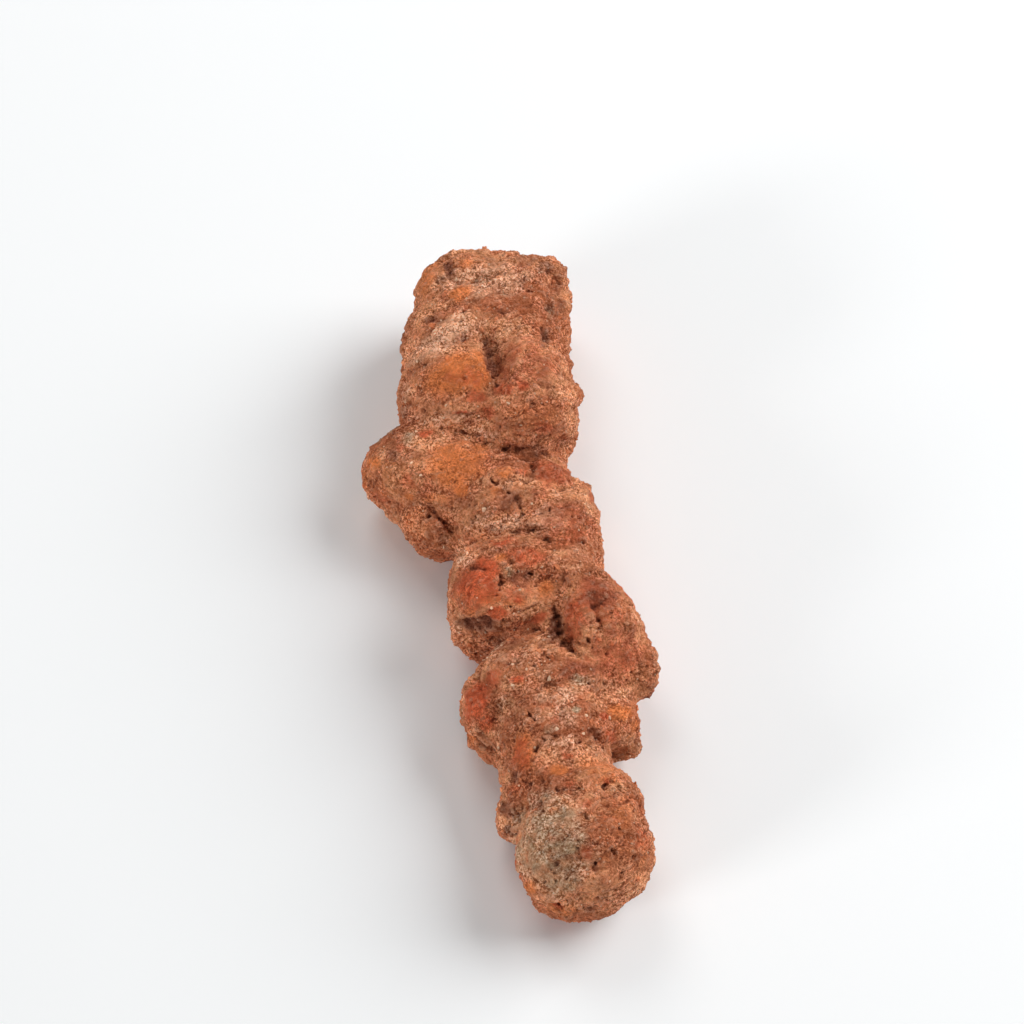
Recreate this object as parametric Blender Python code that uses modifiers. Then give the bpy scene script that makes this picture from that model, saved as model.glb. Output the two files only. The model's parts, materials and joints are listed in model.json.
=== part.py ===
"""A coprolite, a dropping turned to stone: one crooked rope of rolls and lobes that lies on its belly.

Metres, +Z up. The rope runs along Y, from the round ball at its near end (-Y) to the blunt far end
(+Y). The origin is under the middle of its box, on the surface that it rests on.
"""

import math
from typing import NamedTuple

import bmesh
import bpy
import numpy as np
from mathutils import Matrix, Vector
from mathutils.bvhtree import BVHTree

MM = 0.001

# Driving dimensions: the box that the stone fills.
LENGTH = 122 * MM
WIDTH = 42.5 * MM
HEIGHT = 24.5 * MM

# How the rope is fused and faceted.
FUSE_VOXEL = 0.7 * MM
FUSE_SMOOTHING = 6
STROKE_STEP = 0.5 * MM
MOST_TRIANGLES = 9500

# How far the bellies of the lowest lumps are worn flat.
WEAR_DEPTH = 0.9 * MM

# The roughness of the whole skin, as (grain size, height).
KNUCKLES = (7.0 * MM, 1.6 * MM)
CRUMBS = (3.2 * MM, 0.9 * MM)


class Lump(NamedTuple):
    """One swelling of the rope, with its turn about Z and how square its girth and its ends are."""

    name: str
    middle: tuple
    half_size: tuple
    turn: float
    girth: float
    ends: float


# Millimetres and degrees, from the far end to the near one. Squareness runs from 0, a ball, to 1, a block.
LUMPS = (
    Lump("far cap", (4.3, 49.7, 11.0), (12.8, 9.6, 10.6), -2.5, 0.32, 0.70),
    Lump("far shoulder", (0.6, 51.4, 11.4), (7.0, 9.0, 10.7), -8, 0.30, 0.60),
    Lump("far corner", (13.8, 54.2, 11.8), (4.3, 4.6, 6.4), 0, 0.30, 0.55),
    Lump("upper body", (1.9, 40.3, 11.4), (14.0, 11.2, 11.6), -3, 0.20, 0.50),
    Lump("upper bulge", (7.0, 30.4, 12.4), (8.5, 9.6, 11.4), 0, 0.15, 0.35),
    Lump("upper left", (-4.3, 33.9, 11.6), (9.1, 9.2, 11.3), 0, 0.15, 0.40),
    Lump("side nub", (15.2, 35.4, 8.6), (2.5, 2.7, 2.7), 0, 0.0, 0.1),
    Lump("waist", (2.8, 19.7, 9.7), (9.7, 8.8, 9.6), 0, 0.15, 0.30),
    Lump("fold", (-9.1, 20.3, 9.3), (12.3, 7.4, 9.4), -36, 0.15, 0.30),
    Lump("fold tip", (-15.8, 24.3, 8.0), (5.6, 4.5, 7.0), -30, 0.0, 0.25),
    Lump("fold foot", (-9.6, 15.1, 7.9), (6.4, 6.3, 7.7), 30, 0.0, 0.25),
    Lump("middle", (1.1, 12.4, 9.9), (9.8, 8.8, 10.2), 10, 0.15, 0.30),
    Lump("middle corner", (10.5, 11.1, 8.6), (5.4, 4.8, 7.4), 6, 0.15, 0.45),
    Lump("middle step", (6.9, 5.1, 9.9), (8.7, 8.1, 10.2), 0, 0.15, 0.35),
    Lump("coil", (-2.2, -4.4, 11.4), (9.0, 8.5, 11.2), -10, 0.15, 0.30),
    Lump("coil shoulder", (9.2, -9.3, 10.8), (7.9, 10.9, 10.7), 30, 0.15, 0.40),
    Lump("elbow", (11.2, -15.9, 9.0), (7.8, 7.3, 8.7), 30, 0.15, 0.30),
    Lump("elbow tip", (16.7, -17.7, 8.1), (4.7, 5.0, 5.7), -8, 0.0, 0.20),
    Lump("base", (2.1, -20.9, 9.4), (10.4, 7.8, 10.0), 0, 0.15, 0.35),
    Lump("base bud", (-7.1, -22.9, 7.6), (4.2, 6.8, 7.5), 12, 0.0, 0.15),
    Lump("base right", (10.9, -25.8, 7.3), (5.4, 5.7, 6.6), 0, 0.1, 0.30),
    Lump("base nub", (13.7, -29.6, 6.0), (3.0, 2.7, 3.6), 0, 0.0, 0.1),
    Lump("base roll", (2.3, -29.2, 9.2), (9.4, 6.8, 9.4), -10, 0.15, 0.35),
    Lump("neck", (1.6, -36.7, 8.7), (9.1, 7.3, 8.7), 0, 0.15, 0.30),
    Lump("neck nub", (-5.6, -40.3, 6.6), (3.0, 4.5, 5.5), 0, 0.0, 0.1),
    Lump("ball shoulder", (4.6, -43.6, 9.3), (9.7, 7.7, 9.4), 0, 0.1, 0.1),
    Lump("ball foot", (2.2, -51.5, 8.8), (8.9, 7.9, 9.2), 0, 0.05, 0.1),
    Lump("ball", (4.0, -49.4, 9.7), (11.0, 10.0, 10.5), 0, 0.0, 0.05),
)


class Mark(NamedTuple):
    """A stroke along the skin, with its half-width and its depth, which is below 0 for a swelling."""

    name: str
    path: tuple
    width: float
    depth: float


# Millimetres. Each point is dropped on the nearest skin.
MARKS = (
    # The upper side, from the far end to the near one.
    Mark("crack in the cap", ((-1.7, 53, 21.5), (0.5, 52.5, 21.5), (2.8, 52, 22)), 0.9, 1.1),
    Mark("corner furrow", ((11.5, 56.5, 20), (14.3, 55.7, 18.7), (15.5, 53.3, 17.7)), 1.0, 1.0),
    Mark("right furrow", ((14.5, 52, 18), (15, 47.5, 17.5), (15.5, 44, 17), (14.5, 39.5, 17)), 1.2, 1.3),
    Mark("upper crease", ((1.5, 40.5, 24), (2.3, 36.5, 24), (2.3, 31.5, 23.5)), 1.1, 1.6),
    Mark("upper step", ((-11, 42.5, 15), (-5.5, 39.5, 22.5), (0, 42, 23.5), (5, 44.5, 23)), 1.3, 0.8),
    Mark("left swelling", ((-7.5, 36, 22), (-3.5, 36, 23), (-1.5, 33, 23.5)), 3.2, -1.0),
    Mark("right swelling", ((7.5, 37, 23), (10.5, 34, 22), (8, 29, 23)), 3.5, -1.1),
    Mark("overhang", ((-2, 22, 20), (1.5, 20, 20), (5.5, 18.5, 19), (10, 20, 16), (14, 22, 12)), 1.6, 1.8),
    Mark("middle crease", ((6.2, 17, 19), (3.8, 12, 20.5), (3.1, 9.2, 20), (1.7, 6.3, 19)), 1.2, 1.2),
    Mark("middle ledge", ((-5, 8.5, 17), (-0.6, 6.4, 19), (4.3, 6.7, 19.7), (9.3, 7.2, 20)), 1.1, 0.8),
    Mark("crack in the fold", ((-11.5, 13, 14), (-9.5, 11, 14.5), (-8.4, 9, 13.3)), 0.9, 1.2),
    Mark("hollow in the coil", ((-1.8, -7, 22), (0.5, -8, 21.5), (3, -6.3, 20.5)), 1.5, 1.0),
    Mark("elbow crease", ((5.6, -7, 21.5), (4.9, -12.4, 20), (5.7, -16, 19), (7, -19.4, 19)), 1.4, 2.0),
    Mark("elbow furrow", ((11.5, -11, 21.6), (12.2, -14.6, 21.3), (12.3, -18, 19.6)), 1.2, 0.8),
    Mark("base ledge", ((1, -25, 18.6), (3.6, -24.7, 19), (7.2, -24, 18.3)), 1.0, 0.9),
    Mark("edge of the bud", ((-7.3, -20, 15), (-5.8, -23.5, 16), (-6.4, -26.5, 13.5)), 1.0, 1.1),
    Mark("crack in the bud", ((-9.2, -26, 7.7), (-7.6, -28, 7.5), (-6.5, -33.3, 12.4)), 0.9, 1.2),
    Mark("furrow by the nub", ((9.2, -33.5, 14.8), (12, -32, 7.2), (13.6, -32, 5.4)), 1.1, 1.0),
    Mark("neck line", ((-6, -36, 13.3), (-5.5, -39.7, 13.2), (-4.6, -42, 13)), 1.0, 0.9),
    Mark("ball crease", ((3.2, -49.3, 20), (5.5, -48.3, 20), (7.6, -46, 19), (8.5, -43.5, 18)), 1.1, 1.0),
    Mark("hollow in the ball", ((1.4, -43, 18.7), (3.8, -43.6, 18.7)), 1.5, 0.9),
    Mark("dent in the ball", ((-2, -55.2, 17), (-0.3, -55.7, 17.6), (0.7, -57, 17)), 1.3, 0.8),
    # The flanks and the far end.
    Mark("right of the upper body", ((16, 48, 11), (17.5, 41, 7), (16, 34, 5)), 1.6, 1.3),
    Mark("right of the waist", ((15, 24, 11), (14, 22.5, 6), (10, 21, 1)), 1.5, 0.8),
    Mark("right of the elbow", ((18, -8, 10), (21, -15, 6), (16, -21, 4)), 1.6, 1.2),
    Mark("right of the ball", ((14, -45, 8), (14, -51, 6), (9, -57, 5)), 1.5, 0.9),
    Mark("left of the upper body", ((-12, 44, 7), (-12, 39, 6), (-11, 31, 8)), 1.7, 1.0),
    Mark("low left swelling", ((-11, 44, 4), (-9, 36, 2)), 2.8, -1.2),
    Mark("behind the fold", ((-20, 27, 6), (-14, 30, 5), (-9, 28, 3)), 1.4, 1.1),
    Mark("left of the coil", ((-11, 0, 11), (-11, -5, 7), (-8, -9, 3)), 1.5, 1.2),
    Mark("across the far end", ((-6, 60, 15), (2, 61, 11), (9, 60, 14)), 1.6, 0.9),
    Mark("hollow of the far end", ((3, 61, 6), (6, 61, 5)), 2.4, 1.4),
    # The belly.
    Mark("belly at the waist", ((-9, 25, 1), (2, 26, 0), (12, 24, 1)), 1.8, 1.6),
    Mark("belly at the coil", ((-8, 5, 1), (2, 3, 0), (13, 1, 1)), 1.7, 1.4),
    Mark("belly at the base", ((-8, -15, 1), (2, -17, 0), (14, -20, 1)), 1.8, 1.5),
    Mark("belly at the neck", ((-5, -38, 1), (3, -40, 0), (10, -38, 1)), 1.6, 1.3),
)


def clear_scene():
    for thing in list(bpy.data.objects):
        bpy.data.objects.remove(thing, do_unlink=True)


def new_collection(name, hidden=False):
    collection = bpy.data.collections.new(name)
    collection.hide_render = hidden
    bpy.context.scene.collection.children.link(collection)
    return collection


def evaluated_mesh(thing):
    """The mesh of an object with its modifiers applied."""
    bpy.context.view_layer.update()
    graph = bpy.context.evaluated_depsgraph_get()
    return bpy.data.meshes.new_from_object(thing.evaluated_get(graph))


def apply_modifiers(thing):
    """Keeps the object and gives it the mesh that its modifiers make."""
    rough = thing.data
    name = rough.name
    thing.data = evaluated_mesh(thing)
    thing.modifiers.clear()
    bpy.data.meshes.remove(rough)
    thing.data.name = name


def exponent(squareness):
    """2 makes a round outline, and a higher number fills its corners."""
    return 2 / (1 - squareness)


def add_lump(heap, lump):
    """A ball with its girth (X and Z) and its ends (Y) squared off, then stretched, turned and placed."""
    ball = bmesh.ops.create_icosphere(heap, subdivisions=4, radius=1)["verts"]
    around, along = exponent(lump.girth), exponent(lump.ends)
    for vertex in ball:
        x, y, z = (abs(value) for value in vertex.co)
        girth = (x**around + z**around) ** (1 / around)
        vertex.co /= (girth**along + y**along) ** (1 / along)
    stretch = Matrix.Diagonal(Vector(lump.half_size) * MM).to_4x4()
    turn = Matrix.Rotation(math.radians(lump.turn), 4, "Z")
    place = Matrix.Translation(Vector(lump.middle) * MM) @ turn @ stretch
    bmesh.ops.transform(heap, matrix=place, verts=ball)


def fuse_lumps(collection):
    """All the lumps as one closed skin."""
    heap = bmesh.new()
    for lump in LUMPS:
        add_lump(heap, lump)
    body_mesh = bpy.data.meshes.new("coprolite")
    heap.to_mesh(body_mesh)
    heap.free()
    body = bpy.data.objects.new("coprolite", body_mesh)
    collection.objects.link(body)
    fuse = body.modifiers.new("fuse", "REMESH")
    fuse.mode = "VOXEL"
    fuse.voxel_size = FUSE_VOXEL
    soften = body.modifiers.new("soften", "SMOOTH")
    soften.factor = 0.5
    soften.iterations = FUSE_SMOOTHING
    apply_modifiers(body)
    return body


def stroke(mark, skin):
    """Closely spaced places on the skin along a mark."""
    corners = [skin.find_nearest(Vector(point) * MM)[0] for point in mark.path]
    places = []
    for start, end in zip(corners, corners[1:]):
        steps = math.ceil((end - start).length / STROKE_STEP)
        places += [start.lerp(end, step / steps) for step in range(steps + 1)]
    return np.array(places)


def press_marks(body):
    """Sinks or swells the skin along each mark, most on its path and fading out sideways."""
    points = np.array([vertex.co for vertex in body.data.vertices])
    normals = np.array([vertex.normal for vertex in body.data.vertices])
    skin = BVHTree.FromObject(body, bpy.context.evaluated_depsgraph_get())
    rise = np.zeros(len(points))
    for mark in MARKS:
        gap = np.full(len(points), np.inf)
        for place in stroke(mark, skin):
            gap = np.minimum(gap, np.linalg.norm(points - place, axis=1))
        rise -= mark.depth * MM * np.exp(-((gap / (mark.width * MM)) ** 2))
    points += normals * rise[:, None]
    body.data.vertices.foreach_set("co", points.ravel())
    body.data.update()


def roughen(body, name, size, height):
    texture = bpy.data.textures.new(name, "CLOUDS")
    texture.noise_scale = size
    texture.noise_depth = 2
    rough = body.modifiers.new(name, "DISPLACE")
    rough.texture = texture
    rough.texture_coords = "LOCAL"
    rough.strength = height
    rough.mid_level = 0.5


def facet(body):
    """Brings the skin down to a few thousand flat faces."""
    triangles = sum(len(face.vertices) - 2 for face in body.data.polygons)
    thin = body.modifiers.new("facets", "DECIMATE")
    thin.ratio = MOST_TRIANGLES / triangles
    apply_modifiers(body)


def wear_belly(body, cutters):
    """Grinds the lowest lumps flat, all in one plane, so that the stone rests without rocking."""
    lowest = min(vertex.co.z for vertex in body.data.vertices)
    bpy.ops.mesh.primitive_cube_add(size=1)
    ground = bpy.context.object
    ground.name = "ground"
    ground.data.transform(Matrix.Diagonal((2 * LENGTH, 2 * LENGTH, HEIGHT, 1)))
    ground.data.transform(Matrix.Translation((0, 0, lowest + WEAR_DEPTH - HEIGHT / 2)))
    for owner in list(ground.users_collection):
        owner.objects.unlink(ground)
    cutters.objects.link(ground)
    ground.hide_render = True
    ground.display_type = "WIRE"
    cut = body.modifiers.new("worn belly", "BOOLEAN")
    cut.operation = "DIFFERENCE"
    cut.solver = "EXACT"
    cut.object = ground
    apply_modifiers(body)


def seat(body):
    """Fits the stone to its driving box, with the origin under the middle."""
    points = np.array([vertex.co for vertex in body.data.vertices])
    low, high = points.min(axis=0), points.max(axis=0)
    print("natural box, mm:", np.round((high - low) / MM, 1), "middle", np.round((high + low) / 2 / MM, 1))
    fit = np.array((WIDTH, LENGTH, HEIGHT)) / (high - low)
    foot = Vector(((low[0] + high[0]) / 2, (low[1] + high[1]) / 2, low[2]))
    body.data.transform(Matrix.Diagonal((*fit, 1)) @ Matrix.Translation(-foot))


def stone_material():
    material = bpy.data.materials.new("red stone")
    material.use_nodes = True
    shader = material.node_tree.nodes["Principled BSDF"]
    shader.inputs["Base Color"].default_value = (0.38, 0.14, 0.07, 1)
    shader.inputs["Roughness"].default_value = 0.85
    shader.inputs["Metallic"].default_value = 0
    return material


def main():
    clear_scene()
    stone = new_collection("Coprolite")
    cutters = new_collection("Cutters", hidden=True)
    body = fuse_lumps(stone)
    press_marks(body)
    roughen(body, "knuckles", *KNUCKLES)
    roughen(body, "crumbs", *CRUMBS)
    apply_modifiers(body)
    facet(body)
    wear_belly(body, cutters)
    seat(body)
    body.data.materials.append(stone_material())
    print(len(body.data.polygons), "faces")


main()
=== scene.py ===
# %% [markdown]
# # A coprolite, a dropping turned to red stone
#
# The real thing is one piece of stone: a rope of rolls and lobes that sank into mud, filled with sand
# and iron, and set hard. The imported model holds its true form and size as a plain faceted solid.
# This lesson keeps that form and lays the real surface over it: creases, pits, crumbs, sand grains
# and rusty stains. It starts by loading the imported model and noting the box that it fills, because
# everything made here is kept inside that box.

# %% Load the imported stone
import json
import math

import bpy
import numpy as np
from mathutils import Matrix, Vector, noise
from mathutils.kdtree import KDTree

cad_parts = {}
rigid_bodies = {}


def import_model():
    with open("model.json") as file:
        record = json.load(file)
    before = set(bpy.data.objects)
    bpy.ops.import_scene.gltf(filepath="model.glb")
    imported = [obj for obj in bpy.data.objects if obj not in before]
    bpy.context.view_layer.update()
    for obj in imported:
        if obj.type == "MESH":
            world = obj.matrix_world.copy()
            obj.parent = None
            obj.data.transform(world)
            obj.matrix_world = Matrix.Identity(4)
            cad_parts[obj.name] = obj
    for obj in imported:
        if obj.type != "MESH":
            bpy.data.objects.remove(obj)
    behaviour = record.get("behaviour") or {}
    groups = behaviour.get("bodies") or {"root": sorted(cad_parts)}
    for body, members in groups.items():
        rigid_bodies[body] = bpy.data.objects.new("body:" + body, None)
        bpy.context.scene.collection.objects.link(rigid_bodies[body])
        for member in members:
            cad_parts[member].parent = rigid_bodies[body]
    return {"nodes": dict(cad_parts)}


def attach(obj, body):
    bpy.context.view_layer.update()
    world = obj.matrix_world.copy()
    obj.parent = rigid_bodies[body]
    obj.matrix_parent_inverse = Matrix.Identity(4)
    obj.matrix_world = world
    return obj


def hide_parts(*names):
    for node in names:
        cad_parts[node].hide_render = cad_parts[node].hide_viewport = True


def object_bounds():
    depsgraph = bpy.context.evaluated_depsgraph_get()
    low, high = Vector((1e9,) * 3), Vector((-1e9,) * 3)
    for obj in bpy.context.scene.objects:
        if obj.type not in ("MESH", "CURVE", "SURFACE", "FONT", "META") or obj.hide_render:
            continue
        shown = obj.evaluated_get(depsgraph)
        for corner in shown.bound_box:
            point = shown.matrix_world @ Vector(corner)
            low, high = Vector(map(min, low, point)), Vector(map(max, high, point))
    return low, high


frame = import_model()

MM = 0.001
CAD_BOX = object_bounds()
BOX_LOW, BOX_HIGH = (np.array(corner) for corner in CAD_BOX)
print("stone's box in mm:", ((BOX_HIGH - BOX_LOW) / MM).round(2))

# %% [markdown]
# ## The camera
#
# The stone is seen from above its near end, a little from the left. A long lens at arm's length
# keeps the far end almost as large as the near one, as a product picture does. The camera's three
# directions are kept, because the marks on the stone are later given by their place in the picture,
# in a square frame of 1024 points a side, and the same directions carry them back to the stone.

# %% Camera
PICTURE = 1024
# How wide a point of the picture is at the stone.
POINT = 0.1605 * MM
SENSOR = 36
NEAREST, DISTANCE = 10 * MM, 620 * MM
AZIMUTH, ELEVATION = math.radians(-8.5), math.radians(56)
# A place in the stone, and where it lands in the picture.
AIM = Vector((0, 0, 13 * MM))
AIM_AT = (510.5, 569)

RIGHT = Vector((math.cos(AZIMUTH), math.sin(AZIMUTH), 0))
BACK = Vector((
    math.sin(AZIMUTH) * math.cos(ELEVATION),
    -math.cos(AZIMUTH) * math.cos(ELEVATION),
    math.sin(ELEVATION),
))
UP = BACK.cross(RIGHT)
CENTRE = AIM - RIGHT * (AIM_AT[0] - PICTURE / 2) * POINT - UP * (PICTURE / 2 - AIM_AT[1]) * POINT
EYE = CENTRE + BACK * DISTANCE

bpy.ops.object.select_all(action="DESELECT")
bpy.ops.object.camera_add()
camera = bpy.context.object
camera.name = "camera"
camera.matrix_world = Matrix.Translation(EYE) @ Matrix((RIGHT, UP, BACK)).transposed().to_4x4()
camera.data.sensor_width = SENSOR
camera.data.lens = SENSOR * DISTANCE / (PICTURE * POINT)
camera.data.clip_start = NEAREST
bpy.context.scene.camera = camera
bpy.context.scene.view_settings.view_transform = "Standard"
print("lens:", round(camera.data.lens, 1), "mm")

# %% [markdown]
# ## Floor and light
#
# A pale sheet lies under the stone and runs out of view. It leans a little to blue, because the
# stone throws its red back on it. A faint even sky fills the deepest shadows, and three large soft
# lamps shape the stone. The strongest stands on its right and lays the wide soft shadow on its
# left, one behind its far end lights the top of each roll, and a low one on the left fills the
# shaded flank. A lamp's size sets how soft the shadow's edge is, so all three are large.

# %% Floor, sky and lamps
SKY_LIGHT = 0.19
FLOOR_SIZE = 8
FLOOR_TONE = (0.965, 0.98, 0.986, 1)


def node(tree, kind, inputs=(), **settings):
    """Adds a shader node. Each input takes a value, or another node's socket to link."""
    made = tree.nodes.new("ShaderNode" + kind)
    for name, value in settings.items():
        setattr(made, name, value)
    for socket, value in dict(inputs).items():
        if isinstance(value, bpy.types.NodeSocket):
            tree.links.new(value, made.inputs[socket])
        else:
            made.inputs[socket].default_value = value
    return made


def plain_material(name, values):
    """A new material with these values on its Principled shader, its node tree and the shader."""
    material = bpy.data.materials.new(name)
    material.use_nodes = True
    shader = material.node_tree.nodes["Principled BSDF"]
    for socket, value in values.items():
        shader.inputs[socket].default_value = value
    return material, material.node_tree, shader


bpy.ops.mesh.primitive_plane_add(size=FLOOR_SIZE)
floor = bpy.context.object
floor.name = "floor"
paper = plain_material("pale_floor", {"Base Color": FLOOR_TONE, "Roughness": 0.9, "Specular IOR Level": 0.1})
floor.data.materials.append(paper[0])

sky = bpy.data.worlds.new("sky")
sky.use_nodes = True
even_sky = sky.node_tree.nodes["Background"].inputs
even_sky["Color"].default_value = (1, 1, 1, 1)
even_sky["Strength"].default_value = SKY_LIGHT
bpy.context.scene.world = sky


def soft_lamp(name, towards, distance, size, watts):
    """A square area lamp that looks at the stone from the given direction."""
    bpy.ops.object.light_add(type="AREA")
    lamp = bpy.context.object
    lamp.name = name
    lamp.data.size = size
    lamp.data.energy = watts
    direction = Vector(towards).normalized()
    lamp.matrix_world = Matrix.Translation(AIM + direction * distance) @ direction.to_track_quat(
        "Z", "Y"
    ).to_matrix().to_4x4()


LAMPS = (
    # name, direction from the stone, distance and size in metres, watts
    ("lamp_right", (1.0, 0.2, 0.74), 1.2, 0.95, 15.1),
    ("lamp_behind", (-0.2, 0.8, 0.9), 1.2, 0.6, 3.4),
    ("lamp_left", (-1.0, -0.45, 0.28), 1.6, 0.5, 12.8),
)
for lamp in LAMPS:
    soft_lamp(*lamp)

# %% [markdown]
# ## The body under the skin
#
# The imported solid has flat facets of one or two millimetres. Its copy is welded, because the solid
# comes as loose triangles, and a voxel Remesh turns it into an even net fine enough to carve.
# A Smooth modifier then melts the facets but leaves every roll and furrow. The net is unwrapped
# now, while it is smooth, because a rough one would fall into thousands of islands.

# %% Smooth body
BODY = frame["nodes"]["coprolite"]
WELD = 0.001 * MM
SKIN_VOXEL = 0.27 * MM
MELT_STEPS = 34
MAP_ANGLE, MAP_MARGIN = 1.15, 0.004


def only(thing):
    """Leaves this object alone selected, and active."""
    bpy.ops.object.select_all(action="DESELECT")
    thing.select_set(True)
    bpy.context.view_layer.objects.active = thing


def modify(thing, kind, **settings):
    """Adds a modifier, sets it up and applies it."""
    only(thing)
    bpy.ops.object.modifier_add(type=kind)
    modifier = thing.modifiers[-1]
    for name, value in settings.items():
        setattr(modifier, name, value)
    bpy.ops.object.modifier_apply(modifier=modifier.name)


def new_object(name, mesh):
    """An object with this mesh, in the scene."""
    made = bpy.data.objects.new(name, mesh)
    bpy.context.scene.collection.objects.link(made)
    return made


skin = new_object("coprolite_skin", BODY.data.copy())
skin.data.materials.clear()
only(skin)
bpy.ops.object.mode_set(mode="EDIT")
bpy.ops.mesh.select_all(action="SELECT")
bpy.ops.mesh.remove_doubles(threshold=WELD)
bpy.ops.object.mode_set(mode="OBJECT")
modify(skin, "REMESH", mode="VOXEL", voxel_size=SKIN_VOXEL, use_smooth_shade=True)
modify(skin, "SMOOTH", factor=0.5, iterations=MELT_STEPS)

only(skin)
for layer in list(skin.data.uv_layers):
    skin.data.uv_layers.remove(layer)
skin.data.uv_layers.new(name="OFBake")
bpy.ops.object.mode_set(mode="EDIT")
bpy.ops.mesh.select_all(action="SELECT")
bpy.ops.uv.smart_project(angle_limit=MAP_ANGLE, island_margin=MAP_MARGIN, scale_to_bounds=True)
bpy.ops.object.mode_set(mode="OBJECT")
print("body:", len(skin.data.vertices), "points,", len(skin.data.polygons), "faces")

# %% [markdown]
# ## From the picture to the stone
#
# Every crease, pit and stain is named by its place in the picture. To find the skin points it
# touches, each point is carried into the picture through the camera's own directions. A mark only
# takes on skin that faces the camera, so that it doesn't run through to the belly. The edges of a
# mark are made ragged by shifting the points with a little noise first.

# %% Places in the picture
RAGGED = 2.2
RAGGED_SIZE = 1.6 * MM
FACING = (0.05, 0.3)
# How far apart the noise of two seeds is read.
NOISE_STEP = (7.31, 3.17, 5.53)


def read_points(mesh, what="co"):
    """The points of a mesh, or their normals, one in a row."""
    values = np.empty(len(mesh.vertices) * 3, np.float32)
    mesh.vertices.foreach_get(what, values)
    return values.reshape(-1, 3).astype(float)


def write_points(mesh, points):
    mesh.vertices.foreach_set("co", points.astype(np.float32).ravel())
    mesh.update()


def in_picture(points):
    """Where points of the stone land in the picture, one in a row."""
    arm = points - np.array(EYE)
    depth = -(arm @ np.array(BACK)) / DISTANCE
    across = PICTURE / 2 + arm @ np.array(RIGHT) / depth / POINT
    down = PICTURE / 2 - arm @ np.array(UP) / depth / POINT
    return np.stack([across, down], 1)


def ramp(values, low, high):
    """Rises smoothly from 0 at low to 1 at high."""
    share = np.clip((values - low) / (high - low), 0, 1)
    return share * share * (3 - 2 * share)


def noise_at(points, size, seed=0):
    """Smooth noise of about -1 to 1, one value a point."""
    shift = Vector([seed * step for step in NOISE_STEP])
    return np.array([noise.noise(Vector(p) + shift) for p in points / size])


class Sight:
    """The skin's points as the picture shows them, with how much each one faces the camera."""

    def __init__(self, mesh):
        self.points = read_points(mesh)
        self.normals = read_points(mesh, "normal")
        self.facing = ramp(self.normals @ np.array(BACK), *FACING)
        shift = [noise_at(self.points, RAGGED_SIZE, seed) for seed in (1, 2)]
        self.places = in_picture(self.points) + RAGGED * np.stack(shift, 1)

    def in_oval(self, middle, half_size, turn=0.0):
        """Distance from the middle of an oval, 1 at its edge."""
        x, y = (self.places - np.array(middle)).T
        c, s = math.cos(math.radians(turn)), math.sin(math.radians(turn))
        return np.hypot((x * c + y * s) / half_size[0], (y * c - x * s) / half_size[1])

    def from_path(self, path):
        """Signed distance from a path, below 0 on its left, in points of the picture."""
        nearest = np.full(len(self.places), np.inf)
        signed = nearest.copy()
        for start, end in zip(path, path[1:]):
            along = np.array(end, float) - start
            length = np.hypot(*along)
            arm = self.places - np.array(start)
            share = np.clip(arm @ along / length**2, 0, 1)
            gap = np.hypot(*(arm - share[:, None] * along).T)
            side = np.sign(along[0] * arm[:, 1] - along[1] * arm[:, 0])
            closer = gap < nearest
            nearest[closer] = gap[closer]
            signed[closer] = (gap * side)[closer]
        return signed


sight = Sight(skin.data)
print("faces the camera:", int((sight.facing > 0.5).sum()), "points")

# %% [markdown]
# ## Swellings and hollows
#
# The softest forms come first: low swellings where one squeeze of the rope ended, and shallow
# hollows between them. Proportional editing could lift them by hand, but an oval with a soft edge
# does the same and can be named and repeated. Each has a height in millimetres, below 0 for
# a hollow, and lifts the skin along its normal.

# %% Swellings and hollows
SWELL_EDGE = (0.2, 1.35)
SWELLS = (
    # name, middle and half-size of an oval in the picture, its turn in degrees, height in mm
    ("brow of the far end", (515, 273), (34, 9), 2, 0.45),
    ("far corner", (562, 268), (10, 9), 0, 0.35),
    ("right knob", (567, 303), (7, 13), 0, 0.45),
    ("low right knob", (562, 345), (8, 13), 0, 0.3),
    ("left shoulder", (425, 282), (14, 20), -20, 0.3),
    ("band over the orange", (440, 338), (30, 10), -35, 0.35),
    ("orange cheek", (458, 376), (32, 20), -15, 0.5),
    ("right bulge", (522, 375), (28, 30), 0, 0.5),
    ("right nub", (576, 395), (10, 17), 0, 0.6),
    ("ledge over the waist", (530, 425), (34, 12), 0, 0.35),
    ("crown of the fold", (448, 462), (38, 22), -20, 0.5),
    ("tip of the fold", (385, 470), (16, 20), 0, 0.3),
    ("foot of the fold", (438, 540), (16, 14), 35, 0.35),
    ("red knob at the waist", (555, 474), (20, 12), 25, 0.6),
    ("yellow ledge", (512, 471), (17, 6), 0, 0.5),
    ("pale roll", (560, 520), (30, 14), 0, 0.3),
    ("crown of the coil", (505, 546), (22, 8), -5, 0.4),
    ("cheek of the coil", (478, 592), (22, 20), 0, 0.4),
    ("hollow in the coil", (521, 577), (19, 11), 0, -0.6),
    ("coil's right rim", (545, 592), (12, 16), 0, 0.35),
    ("elbow's top", (580, 600), (16, 24), 0, 0.35),
    ("elbow's cheek", (615, 625), (18, 26), -15, 0.3),
    ("roll over the ball", (562, 694), (36, 8), -8, 0.5),
    ("red roll", (522, 750), (13, 20), 8, 0.4),
    ("bud", (474, 702), (13, 24), 12, 0.35),
    ("ball's brow", (588, 762), (36, 12), 20, 0.35),
    ("red hollow", (570, 781), (9, 6), 0, -0.4),
    ("grey dent", (556, 868), (14, 7), 0, -0.4),
    ("ball's right lump", (640, 846), (12, 18), 0, 0.35),
    ("ball's low lump", (600, 880), (22, 16), 0, 0.25),
)

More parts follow.
